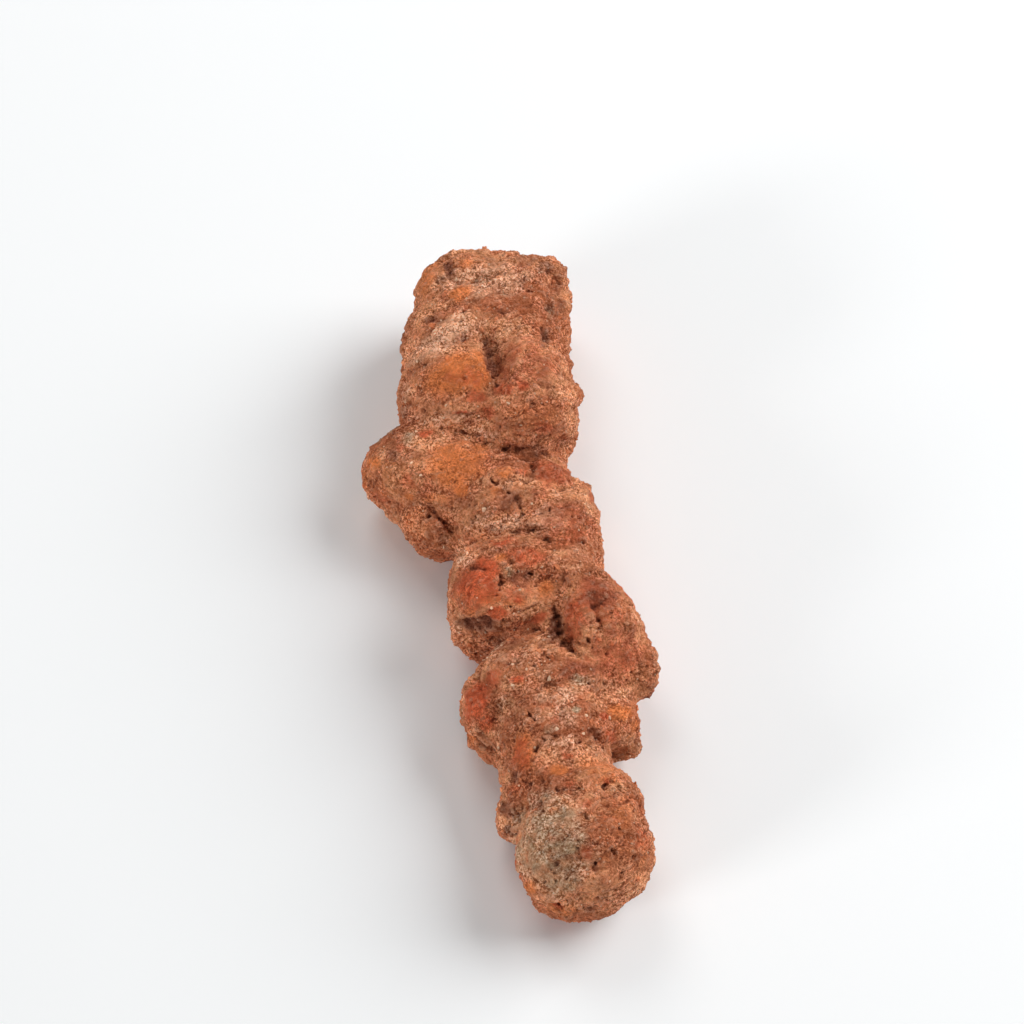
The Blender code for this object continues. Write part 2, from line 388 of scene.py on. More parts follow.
heights = np.zeros(len(sight.points))
for _, middle, half_size, turn, height in SWELLS:
    reach = sight.in_oval(middle, half_size, turn)
    heights += height * (1 - ramp(reach, *SWELL_EDGE)) * sight.facing
highest = max(SWELLS, key=lambda swell: swell[-1])
print(len(SWELLS), "swellings up to", round(float(heights.max()), 2), "mm, the strongest:", highest[0])

# %% [markdown]
# ## Creases, cracks and ledges
#
# Where two rolls meet, the mud pinched into a crease, and where it dried, a crack opened. Each is
# a path in the picture with a half-width in the picture's points and a depth in millimetres. A lip
# above 0 lifts the skin on the path's left side, which turns the crease into a ledge that casts
# a small shadow. Carving the points by their distance from the path keeps the net even, where
# a Boolean cut would leave thin slivers. Dust gathers in the lines and shade falls in them, so they
# are kept to darken the brown stain, which paints both the dust and the shade.

# %% Creases, cracks and ledges
CREASES = (
    # name, half-width in the picture, depth and lip in millimetres, and the path's places
    # The far end and the upper body.
    ("crack in the far end", 1.7, 0.7, 0, (457, 282), (466, 283), (477, 281)),
    ("broken skin", 3.4, 0.5, 0, (446, 261), (449, 268), (448, 275), (454, 280)),
    ("broken skin, right", 2.2, 0.5, 0, (455, 266), (462, 265)),
    ("line on the brow", 2.0, 0.25, 0.15, (472, 276), (486, 276), (500, 275), (516, 272)),
    ("corner crease", 2.0, 0.3, 0.15, (537, 265), (546, 271), (553, 278), (560, 283)),
    ("corner furrow", 2.8, 0.7, 0, (549, 286), (550, 296), (550, 307), (556, 314), (561, 328)),
    ("deep slot", 1.8, 0.6, 0, (543, 326), (544, 334), (546, 343)),
    ("slot's foot", 2.0, 0.5, 0, (551, 345), (556, 349)),
    ("short crease", 1.8, 0.4, 0, (480, 293), (486, 291), (493, 289)),
    ("pitted band", 3.0, 0.35, 0, (468, 298), (479, 299), (488, 304)),
    ("pitted band, right", 2.6, 0.5, 0, (495, 308), (503, 312), (514, 305), (524, 310)),
    ("brown streak", 2.6, 0.3, 0, (417, 321), (426, 317), (437, 318), (448, 317)),
    ("step over the orange", 2.2, 0.5, 0.25, (404, 372), (420, 366), (434, 355), (447, 345), (463, 336)),
    ("main crease", 2.2, 0.6, 0, (484, 342), (486, 349), (489, 358), (493, 369), (497, 383)),
    ("line on the bulge", 1.8, 0.4, 0, (537, 383), (545, 386), (553, 384)),
    ("notch by the nub", 3.0, 0.6, 0, (558, 373), (566, 374), (573, 372)),
    ("step on the left", 2.4, 0.5, 0, (400, 405), (408, 404), (417, 403)),
    ("line over the fold", 1.4, 0.15, 0.1, (437, 430), (450, 427), (461, 423), (472, 421)),
    ("shade of the overhang", 4.6, 0.6, 0, (500, 447), (514, 450), (530, 452), (548, 452)),
    ("mouth of the overhang", 2.2, 0.8, 0, (520, 457), (527, 458), (535, 457)),
    ("corner of the overhang", 2.0, 0.4, 0, (546, 453), (552, 459), (557, 464)),
    ("left of the overhang", 2.2, 0.35, 0, (503, 449), (508, 452)),
    # The fold and the middle.
    ("crack in the fold", 1.5, 0.38, 0, (430, 511), (436, 515), (441, 519), (447, 526), (451, 531)),
    ("crack's foot", 2.0, 0.4, 0, (452, 532), (454, 540), (459, 537)),
    ("hook by the red knob", 2.2, 0.4, 0, (526, 478), (532, 471), (529, 464)),
    ("under the yellow ledge", 2.2, 0.55, 0, (491, 478), (499, 483), (508, 481), (521, 478)),
    ("centre crease", 1.7, 0.5, 0, (518, 495), (519, 503), (521, 511)),
    ("ledge in the middle", 1.7, 0.45, 0.15, (508, 531), (520, 530), (536, 527)),
    ("line on the pale roll", 1.8, 0.45, 0, (571, 541), (578, 540), (585, 542)),
    ("line at the corner", 1.8, 0.4, 0, (566, 480), (573, 486), (579, 490)),
    ("seam above the coil", 1.8, 0.35, 0, (452, 560), (458, 551), (470, 543), (487, 537)),
    # The coil.
    ("red groove", 2.0, 0.55, 0, (470, 565), (478, 565), (484, 567)),
    ("groove under the crown", 1.8, 0.4, 0, (486, 556), (493, 550), (500, 548)),
    ("slot in the coil", 2.0, 0.7, 0, (501, 573), (501, 582), (500, 588)),
    ("slot's foot in the coil", 1.8, 0.5, 0, (495, 589), (504, 587)),
    ("edge of the hollow", 2.0, 0.5, 0, (508, 558), (513, 566), (524, 567)),
    ("shade under the coil", 4.0, 1.0, 0, (463, 622), (476, 627), (488, 623)),
    ("second shade", 2.6, 0.5, 0, (492, 641), (503, 641)),
    ("crack by the elbow", 1.9, 0.8, 0, (526, 637), (533, 633), (539, 629)),
    ("roof of the crack", 2.0, 0.35, 0.2, (535, 648), (546, 643), (556, 641)),
    ("elbow crease", 2.3, 0.55, 0, (555, 608), (556, 618), (559, 628), (561, 637), (566, 645), (574, 652)),
    ("elbow furrow", 2.8, 0.6, 0, (594, 594), (595, 605), (597, 615), (602, 624)),
    # The base and the bud.
    ("ledge over the roll", 1.5, 0.1, 0.12, (545, 685), (553, 683), (562, 680), (569, 677)),
    ("ledge's left end", 1.7, 0.35, 0.15, (518, 701), (530, 694), (541, 688)),
    ("peck in the roll", 1.3, 0.45, 0, (528, 711), (530, 715), (533, 718)),
    ("peck above the ball", 1.9, 0.6, 0, (534, 749), (536, 744)),
    ("crack in the bud", 2.3, 1.0, 0, (475, 735), (484, 743), (490, 749), (499, 757)),
    ("edge of the bud", 2.0, 0.35, 0, (478, 678), (481, 690), (486, 704)),
    ("line by the nub", 2.6, 0.6, 0, (596, 734), (600, 742), (606, 750), (615, 757)),
    ("line over the ball", 1.6, 0.4, 0, (575, 741), (584, 742), (593, 745)),
    ("line in the roll", 1.6, 0.4, 0, (546, 732), (556, 734)),
    ("low line on the roll", 2.0, 0.4, 0, (590, 728), (597, 735)),
    # The neck and the ball.
    ("pit in the neck", 3.0, 0.9, 0, (512, 771), (513, 778)),
    ("arc on the neck", 1.7, 0.5, 0, (520, 797), (524, 788), (530, 782)),
    ("peck on the neck", 1.7, 0.5, 0, (539, 782), (541, 777)),
    ("edge of the neck nub", 1.9, 0.7, 0, (515, 806), (517, 820), (516, 834), (511, 838)),
    ("slit in the ball", 2.0, 1.1, 0, (540, 801), (540, 809)),
    ("hole in the ball", 1.5, 0.6, 0, (558, 787), (560, 792)),
    ("right hole in the ball", 2.0, 0.7, 0, (605, 785), (604, 792)),
    ("below the right hole", 2.2, 0.5, 0, (601, 802), (607, 804)),
    ("lip of the red hollow", 1.9, 0.6, 0, (562, 786), (570, 788), (578, 786)),
    ("arc in the ball", 1.4, 0.35, 0.15, (578, 815), (590, 812), (597, 807), (601, 799)),
    ("grey hole", 1.7, 0.4, 0, (548, 862), (555, 863), (562, 861)),
    ("grey hole, right", 1.9, 0.45, 0, (566, 878), (570, 873), (575, 870)),
    ("slot low on the ball", 1.7, 0.45, 0, (595, 863), (595, 873)),
    ("arc on the ball's right", 2.0, 0.5, 0, (635, 848), (640, 837), (645, 831), (651, 829)),
    ("outer flow line", 1.4, 0.3, 0.1, (606, 763), (620, 775), (632, 790), (641, 806)),
    ("inner flow line", 1.4, 0.3, 0.1, (600, 770), (613, 781), (624, 793), (632, 807)),
    ("third flow line", 1.4, 0.3, 0, (612, 798), (622, 801), (631, 799)),
    # Faint flow lines over the whole stone.
    ("flow line on the brow", 1.3, 0.18, 0.1, (468, 263), (492, 262), (520, 264), (540, 272)),
    ("flow line under the brow", 1.3, 0.2, 0.1, (470, 286), (498, 283), (525, 287), (545, 298)),
    ("cap's low flow line", 1.3, 0.2, 0.1, (430, 309), (452, 303), (476, 306), (503, 300), (530, 303)),
    ("high band line", 1.3, 0.22, 0.12, (408, 345), (424, 331), (444, 322), (466, 319)),
    ("middle band line", 1.3, 0.22, 0.12, (405, 358), (424, 343), (446, 333), (470, 329)),
    ("low band line", 1.3, 0.2, 0.1, (404, 366), (420, 354), (434, 346)),
    ("bulge's high line", 1.3, 0.2, 0.1, (498, 335), (515, 329), (532, 333)),
    ("waist line", 1.3, 0.2, 0.12, (406, 424), (428, 417), (452, 413), (480, 417), (505, 428)),
    ("second waist line", 1.3, 0.2, 0.1, (455, 431), (478, 434), (497, 441)),
    ("roll's high line", 1.3, 0.2, 0.12, (498, 523), (520, 514), (545, 511), (568, 517)),
    ("roll's low line", 1.3, 0.2, 0.12, (510, 541), (535, 537), (560, 541), (590, 556)),
    ("coil's outer line", 1.3, 0.2, 0.1, (455, 580), (463, 563), (478, 552)),
    ("line under the coil's crown", 1.3, 0.2, 0.1, (540, 561), (556, 566), (571, 574)),
    ("elbow's first line", 1.3, 0.2, 0.1, (570, 596), (576, 616), (580, 636)),
    ("elbow's outer line", 1.3, 0.18, 0.1, (612, 603), (624, 626), (634, 648), (640, 668)),
    ("base line", 1.3, 0.2, 0.12, (495, 664), (520, 660), (545, 652)),
    # Scars low on the ball.
    ("orange scar", 2.4, 0.35, 0, (526, 883), (531, 889), (536, 897)),
    ("low scar", 2.0, 0.4, 0, (548, 903), (556, 905), (561, 909)),
)

LIP_AWAY, LIP_WIDTH = 2.2, 1.6
crease_dust_and_shade = np.zeros(len(heights))
for _, width, depth, lip_height, *path in CREASES:
    side = sight.from_path(path)
    dip = np.exp(-((side / width) ** 2))
    crease_dust_and_shade = np.maximum(crease_dust_and_shade, min(depth, 1) * dip * sight.facing)
    lip = np.exp(-(((side + LIP_AWAY * width) / (LIP_WIDTH * width)) ** 2))
    heights += (lip_height * lip - depth * dip) * sight.facing
deepest = max(CREASES, key=lambda crease: crease[2])
print(len(CREASES), "creases down to", round(float(-heights.min()), 2), "mm, the strongest:", deepest[0])

# %% [markdown]
# ## Furrows of the hidden sides
#
# The belly, the flanks and the far end need the same life. They have creases and swellings too,
# scattered by a seeded draw: each creeps over the skin in short steps from a random start.

# %% Hidden furrows
SEED = 20
HIDDEN_FURROWS = 46
FURROW_STEPS = (5, 12)
FURROW_STEP = 0.7
FURROW_TURN = 0.5
FURROW_RADIUS = (0.4, 0.9)
FURROW_DEPTH = (0.3, 0.8)
FURROW_OR_RIDGE = (1, 1, 1, -0.7)
PRESS_REACH = 1.6
LEAST_SHARE = 0.05
# A point that faces the camera less than this counts as hidden.
HIDDEN_BELOW = 0.2
draw = np.random.default_rng(SEED)


def tree_of(points):
    """A tree that finds the points near a place."""
    tree = KDTree(len(points))
    for index, point in enumerate(points):
        tree.insert(point, index)
    tree.balance()
    return tree


near = tree_of(sight.points)
hidden = np.flatnonzero(sight.facing < HIDDEN_BELOW)
trench = np.zeros(len(heights))


def press(places, radius, depth):
    """Digs a soft trench through some places, or raises it where the depth is below 0."""
    for place in places:
        found = near.find_range(Vector(place), radius * PRESS_REACH)
        index = np.array([i for _, i, _ in found], int)
        gaps = np.array([gap for _, _, gap in found]) / radius
        if len(index):
            deeper = np.exp(-(gaps**2) * 2) * depth
            share = 1 - sight.facing[index]
            trench[index] = np.where(
                abs(trench[index]) > abs(deeper), trench[index], deeper
            ) * np.maximum(share, LEAST_SHARE)


for _ in range(HIDDEN_FURROWS):
    at = sight.points[draw.choice(hidden)]
    heading = draw.normal(size=3)
    steps = [at]
    for _ in range(draw.integers(*FURROW_STEPS)):
        heading += draw.normal(size=3) * FURROW_TURN
        at = at + heading / np.linalg.norm(heading) * FURROW_STEP * MM
        at = np.array(near.find(Vector(at))[0])
        steps.append(at)
    radius = draw.uniform(*FURROW_RADIUS) * MM
    press(steps, radius, draw.uniform(*FURROW_DEPTH) * draw.choice(FURROW_OR_RIDGE))
heights -= trench
skin_points = sight.points + sight.normals * heights[:, None] * MM
write_points(skin.data, skin_points)
print(HIDDEN_FURROWS, "hidden furrows, deepest", round(float(trench.max()), 2), "mm")

# %% [markdown]
# ## Rusty stains
#
# Iron coloured the stone in patches: smooth orange and red skin where the mud was fine, dark brown
# in broken places, pale sand on the crests, and one grey patch on the ball. The brown also paints
# the shade in the creases and under the overhangs. A few broad weak ovals are partly painted light
# and shade: pale ones lighten the far end and the left flank, which the lamps leave darker, and red
# and brown ones darken the lobes that the right lamp lights most. Each patch is an oval of the
# picture with a strength. A painted texture would need an unwrapped picture of its own, while ovals
# can be named, moved and made stronger one by one.

# %% Places of the stains
STAINS = {
    # Each row: middle and half-size of an oval in the picture, its turn in degrees, strength.
    "orange": (
        (424, 285, 10, 20, 20, 0.6), (430, 265, 10, 8, -35, 0.5), (466, 263, 11, 6, 10, 0.6),
        (459, 292, 15, 8, -20, 0.8), (457, 374, 36, 22, -22, 0.95), (478, 370, 16, 24, 0, 0.9),
        (455, 464, 34, 25, -10, 0.8), (478, 449, 12, 8, 0, 0.6), (462, 490, 10, 8, 0, 0.9),
        (409, 497, 6, 5, 0, 0.7), (437, 498, 15, 6, 0, 0.5), (374, 463, 9, 7, -30, 0.8),
        (366, 478, 5, 16, 0, 0.4), (505, 473, 11, 6, 0, 0.9), (497, 489, 9, 6, 0, 0.7),
        (501, 556, 9, 5, 0, 0.9), (482, 596, 24, 9, 0, 0.75), (470, 610, 7, 9, 0, 0.5),
        (515, 602, 18, 6, 0, 0.5), (545, 588, 10, 14, 10, 0.7), (620, 712, 16, 10, 0, 0.75),
        (634, 726, 4, 10, 0, 0.6), (472, 742, 6, 14, -30, 0.5), (560, 769, 12, 7, 0, 0.7),
        (597, 770, 30, 13, 30, 0.45), (622, 810, 14, 26, 0, 0.35), (530, 888, 8, 10, -30, 0.8),
        (562, 910, 22, 6, 5, 0.55), (643, 860, 7, 22, 0, 0.35), (620, 862, 22, 26, 0, 0.3),
        (524, 750, 14, 24, 0, 0.65), (395, 478, 24, 24, 0, 0.35), (415, 522, 22, 18, 40, 0.42),
        (422, 406, 22, 14, 0, 0.32), (530, 415, 36, 15, 0, 0.3),
    ),
    "red": (
        (525, 362, 34, 30, 0, 0.42), (504, 389, 15, 8, 0, 0.7), (524, 387, 8, 6, 0, 0.8),
        (463, 412, 8, 3, 0, 0.9), (543, 428, 12, 10, 0, 0.45), (476, 396, 13, 9, 0, 0.55),
        (485, 412, 12, 8, 0, 0.5), (425, 433, 11, 5, -10, 0.7), (466, 377, 22, 11, 0, 0.5),
        (400, 445, 12, 10, 0, 0.4), (375, 500, 12, 14, 50, 0.35), (415, 480, 22, 12, 0, 0.35),
        (552, 473, 26, 13, 20, 0.65), (520, 472, 9, 4, -10, 0.5), (597, 595, 26, 22, 30, 0.65),
        # The broad weak ovals at (580, 670), (565, 525) and (615, 650) partly darken lobes that the right
        # lamp lights most: painted shade.
        (580, 670, 26, 14, 0, 0.45), (565, 525, 30, 24, 0, 0.45), (615, 650, 30, 36, 0, 0.5),
        (540, 489, 16, 10, 0, 0.35), (591, 498, 5, 9, 0, 0.6), (503, 542, 15, 5, -8, 0.85),
        (485, 572, 17, 18, 0, 0.9), (478, 585, 26, 28, 0, 0.75), (526, 556, 26, 12, 0, 0.6),
        (514, 588, 26, 16, 0, 0.4), (497, 612, 12, 8, 0, 0.8), (518, 600, 5, 4, 0, 0.8),
        (538, 618, 12, 5, -25, 0.6), (574, 618, 15, 26, 0, 0.6), (612, 620, 18, 20, 0, 0.45),
        (620, 650, 10, 12, 0, 0.5), (590, 660, 16, 6, 0, 0.4), (454, 590, 5, 16, 0, 0.4),
        (515, 679, 9, 5, -20, 0.8), (494, 676, 11, 9, 0, 0.6), (477, 700, 14, 24, 12, 0.85),
        (487, 725, 10, 12, 0, 0.6), (521, 755, 14, 22, 5, 0.55), (512, 790, 10, 8, 0, 0.4),
        (605, 715, 7, 4, 0, 0.7), (612, 736, 7, 9, 0, 0.6), (566, 755, 9, 4, 0, 0.7),
        (554, 720, 7, 5, 0, 0.45), (586, 852, 8, 10, 0, 0.6), (605, 780, 6, 5, 0, 0.6),
        (590, 803, 9, 10, 0, 0.5), (570, 781, 9, 5, 0, 0.6), (642, 838, 9, 12, 0, 0.45),
        (558, 906, 8, 4, 20, 0.7), (600, 905, 16, 6, 0, 0.35),
    ),
    # Dark broken skin, and painted shade along the creases and under the overhangs and the coil.
    "brown": (
        (449, 268, 7, 11, -20, 0.8), (440, 280, 9, 5, 0, 0.5), (430, 290, 9, 14, 20, 0.25),
        (432, 318, 18, 4, 0, 0.6), (527, 259, 16, 5, 5, 0.55), (546, 268, 12, 7, 30, 0.6),
        (563, 270, 7, 10, 0, 0.4), (556, 305, 9, 24, 0, 0.45), (545, 335, 6, 10, 0, 0.7),
        # The broad weak oval at (527, 366) partly darkens the right bulge, which the right lamp lights most:
        # painted shade.
        (502, 311, 14, 5, 0, 0.4), (503, 424, 12, 9, 0, 0.2), (527, 366, 30, 26, 0, 0.25),
        (482, 338, 5, 11, 0, 0.4), (490, 361, 6, 19, -12, 0.85), (405, 412, 6, 8, 0, 0.45),
        (393, 454, 8, 7, 0, 0.6), (378, 476, 6, 4, 0, 0.3), (438, 537, 14, 12, 30, 0.4),
        (530, 449, 24, 7, 0, 0.5), (528, 500, 12, 12, 0, 0.4), (508, 497, 16, 18, 0, 0.5),
        (480, 510, 26, 18, 0, 0.25), (490, 528, 12, 6, 0, 0.35), (532, 472, 6, 9, 30, 0.5),
        (521, 577, 17, 10, 0, 0.6), (565, 577, 9, 8, 0, 0.4), (582, 515, 9, 9, 0, 0.35),
        (478, 624, 24, 9, 5, 0.9), (506, 641, 18, 8, 0, 0.5), (600, 592, 26, 20, 30, 0.5),
        # The broad weak ovals at (580, 670), (620, 640) and, on the next line, (560, 515) partly darken
        # lobes that the right lamp lights most: painted shade.
        (556, 474, 26, 12, 20, 0.4), (580, 670, 28, 14, 0, 0.4), (620, 640, 24, 26, 0, 0.25),
        (560, 515, 30, 24, 0, 0.25), (545, 642, 14, 5, -10, 0.4), (556, 626, 9, 20, 12, 0.75),
        (594, 602, 5, 14, 0, 0.45), (603, 685, 20, 8, 0, 0.4), (553, 683, 12, 3, -12, 0.35),
        (596, 734, 14, 8, 30, 0.5), (610, 750, 14, 6, 30, 0.45), (638, 743, 5, 7, 0, 0.6),
        (490, 747, 13, 4, 45, 0.5), (507, 832, 8, 8, 40, 0.8), (507, 810, 9, 14, 0, 0.6),
        (513, 776, 6, 9, 0, 0.7), (612, 851, 12, 5, 0, 0.25), (592, 908, 10, 4, 0, 0.5),
        (635, 857, 7, 6, 0, 0.25), (606, 897, 12, 5, 0, 0.35), (558, 869, 18, 7, 10, 0.5),
        (596, 868, 4, 7, 0, 0.6),
    ),
    "grey": (
        (549, 838, 48, 50, 0, 0.6), (570, 846, 13, 13, 0, 0.75), (520, 848, 14, 38, 0, 0.5),
        (556, 880, 30, 16, 0, 0.6), (582, 866, 10, 8, 0, 0.4), (546, 804, 28, 18, 0, 0.5),
        (579, 680, 12, 7, 0, 0.6), (577, 708, 5, 5, 0, 0.9), (409, 438, 8, 11, 20, 0.55),
        (509, 570, 4, 6, 0, 0.8), (503, 700, 14, 12, 0, 0.3), (551, 727, 14, 7, 0, 0.35),
        (552, 308, 5, 18, 0, 0.3), (590, 505, 6, 12, 0, 0.3),
    ),
    "pale": (
        # The broad ovals at (487, 280), and on the next line at (421, 408) and (414, 522), partly lighten
        # the far end and the left flank, which the lamps leave darker: painted light.
        (443, 336, 42, 15, -35, 0.85), (420, 352, 16, 9, -35, 0.6), (487, 280, 56, 20, 0, 0.58),
        (421, 408, 24, 16, 0, 0.35), (414, 522, 26, 16, 45, 0.3), (475, 325, 18, 8, -20, 0.35),
        (520, 282, 26, 14, 0, 0.3), (500, 265, 30, 6, 0, 0.3), (405, 392, 8, 12, 0, 0.4),
        (450, 417, 26, 7, -8, 0.55), (485, 432, 26, 6, 15, 0.4), (508, 522, 26, 7, -20, 0.7),
        (548, 520, 26, 16, 0, 0.5), (585, 545, 14, 18, 0, 0.25), (485, 520, 16, 12, 0, 0.3),
        (462, 558, 12, 12, -40, 0.55), (575, 565, 18, 6, 10, 0.25), (515, 657, 42, 8, 2, 0.35),
        (477, 700, 12, 20, 12, 0.35), (545, 668, 26, 8, -10, 0.25), (558, 696, 32, 9, -10, 0.5),
        (560, 740, 28, 8, 0, 0.5), (558, 716, 32, 14, 0, 0.4), (545, 820, 14, 7, 0, 0.8),
        (522, 868, 9, 7, 0, 0.7), (580, 806, 8, 6, 0, 0.5), (515, 850, 8, 32, 0, 0.7),
        (590, 862, 8, 4, 0, 0.4), (622, 870, 16, 14, 0, 0.3), (625, 745, 7, 5, 0, 0.5),
        (455, 630, 8, 6, 0, 0.4), (585, 680, 8, 5, 0, 0.4),
    ),
}
print("stains:", {colour: len(ovals) for colour, ovals in STAINS.items()})

# %% [markdown]
# ## Laying the stains on the skin
#
# The patches of one colour add up to one mask, kept as an attribute of the skin's points, which the
# material reads. Dust and painted shade in the creases add to the brown. The hidden sides get patches
# of the same kinds from the seeded draw. The last lines work out how crumbly each point is: smooth
# skin a little less, broken places a little more.

# %% Stains
HIDDEN_STAINS = {"orange": 30, "red": 34, "brown": 40, "grey": 8, "pale": 34}
HIDDEN_STAIN_SIZE = (1.2, 4.5)
HIDDEN_STAIN_STRETCH = (0.7, 1.4)
HIDDEN_STAIN_EDGE = (0.4, 1.3)
HIDDEN_STAIN_RAGGED = 0.3
HIDDEN_STAIN_STRENGTH = (0.4, 0.9)
STAIN_EDGE = (0.45, 1.25)
STAIN_RAGGED = 0.22
STAIN_RAGGED_SIZE = 2.6 * MM
SMOOTHER = {"orange": 0.35, "red": 0.35, "brown": -0.2, "grey": 0.1, "pale": 0.0}
LEAST_CRUMBLY, MOST_CRUMBLY = 0.25, 1.3
LINE_DUST_AND_SHADE = 0.5
# A mask above this shows well.
STRONG = 0.3


def keep(mesh, name, values):
    """Keeps one value a point under a name that the material can read."""
    mesh.attributes.new(name, "FLOAT", "POINT").data.foreach_set("value", values)


points = read_points(skin.data)
edge_noise = noise_at(points, STAIN_RAGGED_SIZE, seed=3)
masks = {}
for colour, ovals in STAINS.items():
    mask = np.zeros(len(points))
    for across, down, half_width, half_height, turn, strength in ovals:
        reach = sight.in_oval((across, down), (half_width, half_height), turn)
        mask = np.maximum(mask, strength * (1 - ramp(reach + STAIN_RAGGED * edge_noise, *STAIN_EDGE)))
    mask *= sight.facing
    for _ in range(HIDDEN_STAINS[colour]):
        middle = points[draw.choice(hidden)]
        radius = draw.uniform(*HIDDEN_STAIN_SIZE) * MM
        stretch = draw.uniform(*HIDDEN_STAIN_STRETCH, 3)
        reach = np.linalg.norm((points - middle) * stretch, axis=1) / radius
        spot = 1 - ramp(reach + HIDDEN_STAIN_RAGGED * edge_noise, *HIDDEN_STAIN_EDGE)
        mask = np.maximum(mask, draw.uniform(*HIDDEN_STAIN_STRENGTH) * (spot * (1 - sight.facing)))
    # The creases add their dust and painted shade to the brown.
    if colour == "brown":
        mask = np.maximum(mask, LINE_DUST_AND_SHADE * crease_dust_and_shade)
    masks[colour] = mask
    keep(skin.data, colour, mask)
    print(colour, "covers", round(100 * float((mask > STRONG).mean())), "% of the skin")

crumbly = 1 - sum(share * masks[colour] for colour, share in SMOOTHER.items())
crumbly = np.clip(crumbly, LEAST_CRUMBLY, MOST_CRUMBLY) / MOST_CRUMBLY
group = skin.vertex_groups.new(name="crumbly")
for index, weight in enumerate(crumbly):
    group.add([index], float(weight), "REPLACE")

# %% [markdown]
# ## Crumbly relief
#
# Now the skin is broken up. Displace modifiers push it in and out by layered textures: lumps of
# three millimetres, broken ledges and flow lines that run across the rope, rubble and grit. The
# ledges and flow lines are read through an empty that is long in one direction, which stretches
# them. The crumbly group holds the smooth orange and red skin back a little. Real stone is
# rubbed, so one step of Smooth takes the sharpest points off at the end.

# %% Relief
FLOW_TURN = math.radians(24)
FLOW_STRETCH = 4.5
RUB_STEPS = 1
LAYERS = (
    # name, texture, grain, height, resting level, flows, the texture's own settings
    ("lumps", "CLOUDS", 2.8 * MM, 1.1 * MM, 0.5, False, {"noise_depth": 2}),
    ("broken ledges", "MUSGRAVE", 1.8 * MM, -0.55 * MM, 0.5, True, {"musgrave_type": "RIDGED_MULTIFRACTAL"}),
    ("flow lines", "CLOUDS", 0.7 * MM, 0.6 * MM, 0.5, True, {"noise_depth": 2}),
    ("rubble", "VORONOI", 0.9 * MM, 0.7 * MM, 0.15, False, {"weight_1": -1, "weight_2": 1}),
    ("grit", "CLOUDS", 0.5 * MM, 0.5 * MM, 0.5, False, {"noise_depth": 2}),
)

bpy.ops.object.select_all(action="DESELECT")
bpy.ops.object.empty_add(rotation=(0, 0, FLOW_TURN))
flow = bpy.context.object
flow.scale = (FLOW_STRETCH, 1, 1)
bpy.context.view_layer.update()
for name, kind, grain, height, level, flows, settings in LAYERS:
    texture = bpy.data.textures.new(name, kind)
    texture.noise_scale = grain
    for setting, value in settings.items():
        setattr(texture, setting, value)
    modify(
        skin, "DISPLACE", texture=texture, strength=height, mid_level=level, vertex_group="crumbly",
        texture_coords="OBJECT" if flows else "LOCAL", texture_coords_object=flow if flows else None,
    )
    moved = abs(read_points(skin.data) - points).max() / MM
    print(name, "in: points moved by", round(float(moved), 2), "mm")
bpy.data.objects.remove(flow)
modify(skin, "SMOOTH", factor=0.5, iterations=RUB_STEPS)

# %% [markdown]
# ## Pin pits
#
# The skin is peppered with pits where grains and bits of bone fell out. The deep ones that catch
# the eye are named by their place in the picture, and the rest are scattered by the seeded draw,
# fewer on the smooth skin. A pit is a ragged dip that is longer one way, because a perfectly
# round one looks drilled, and it has a faint raised rim.

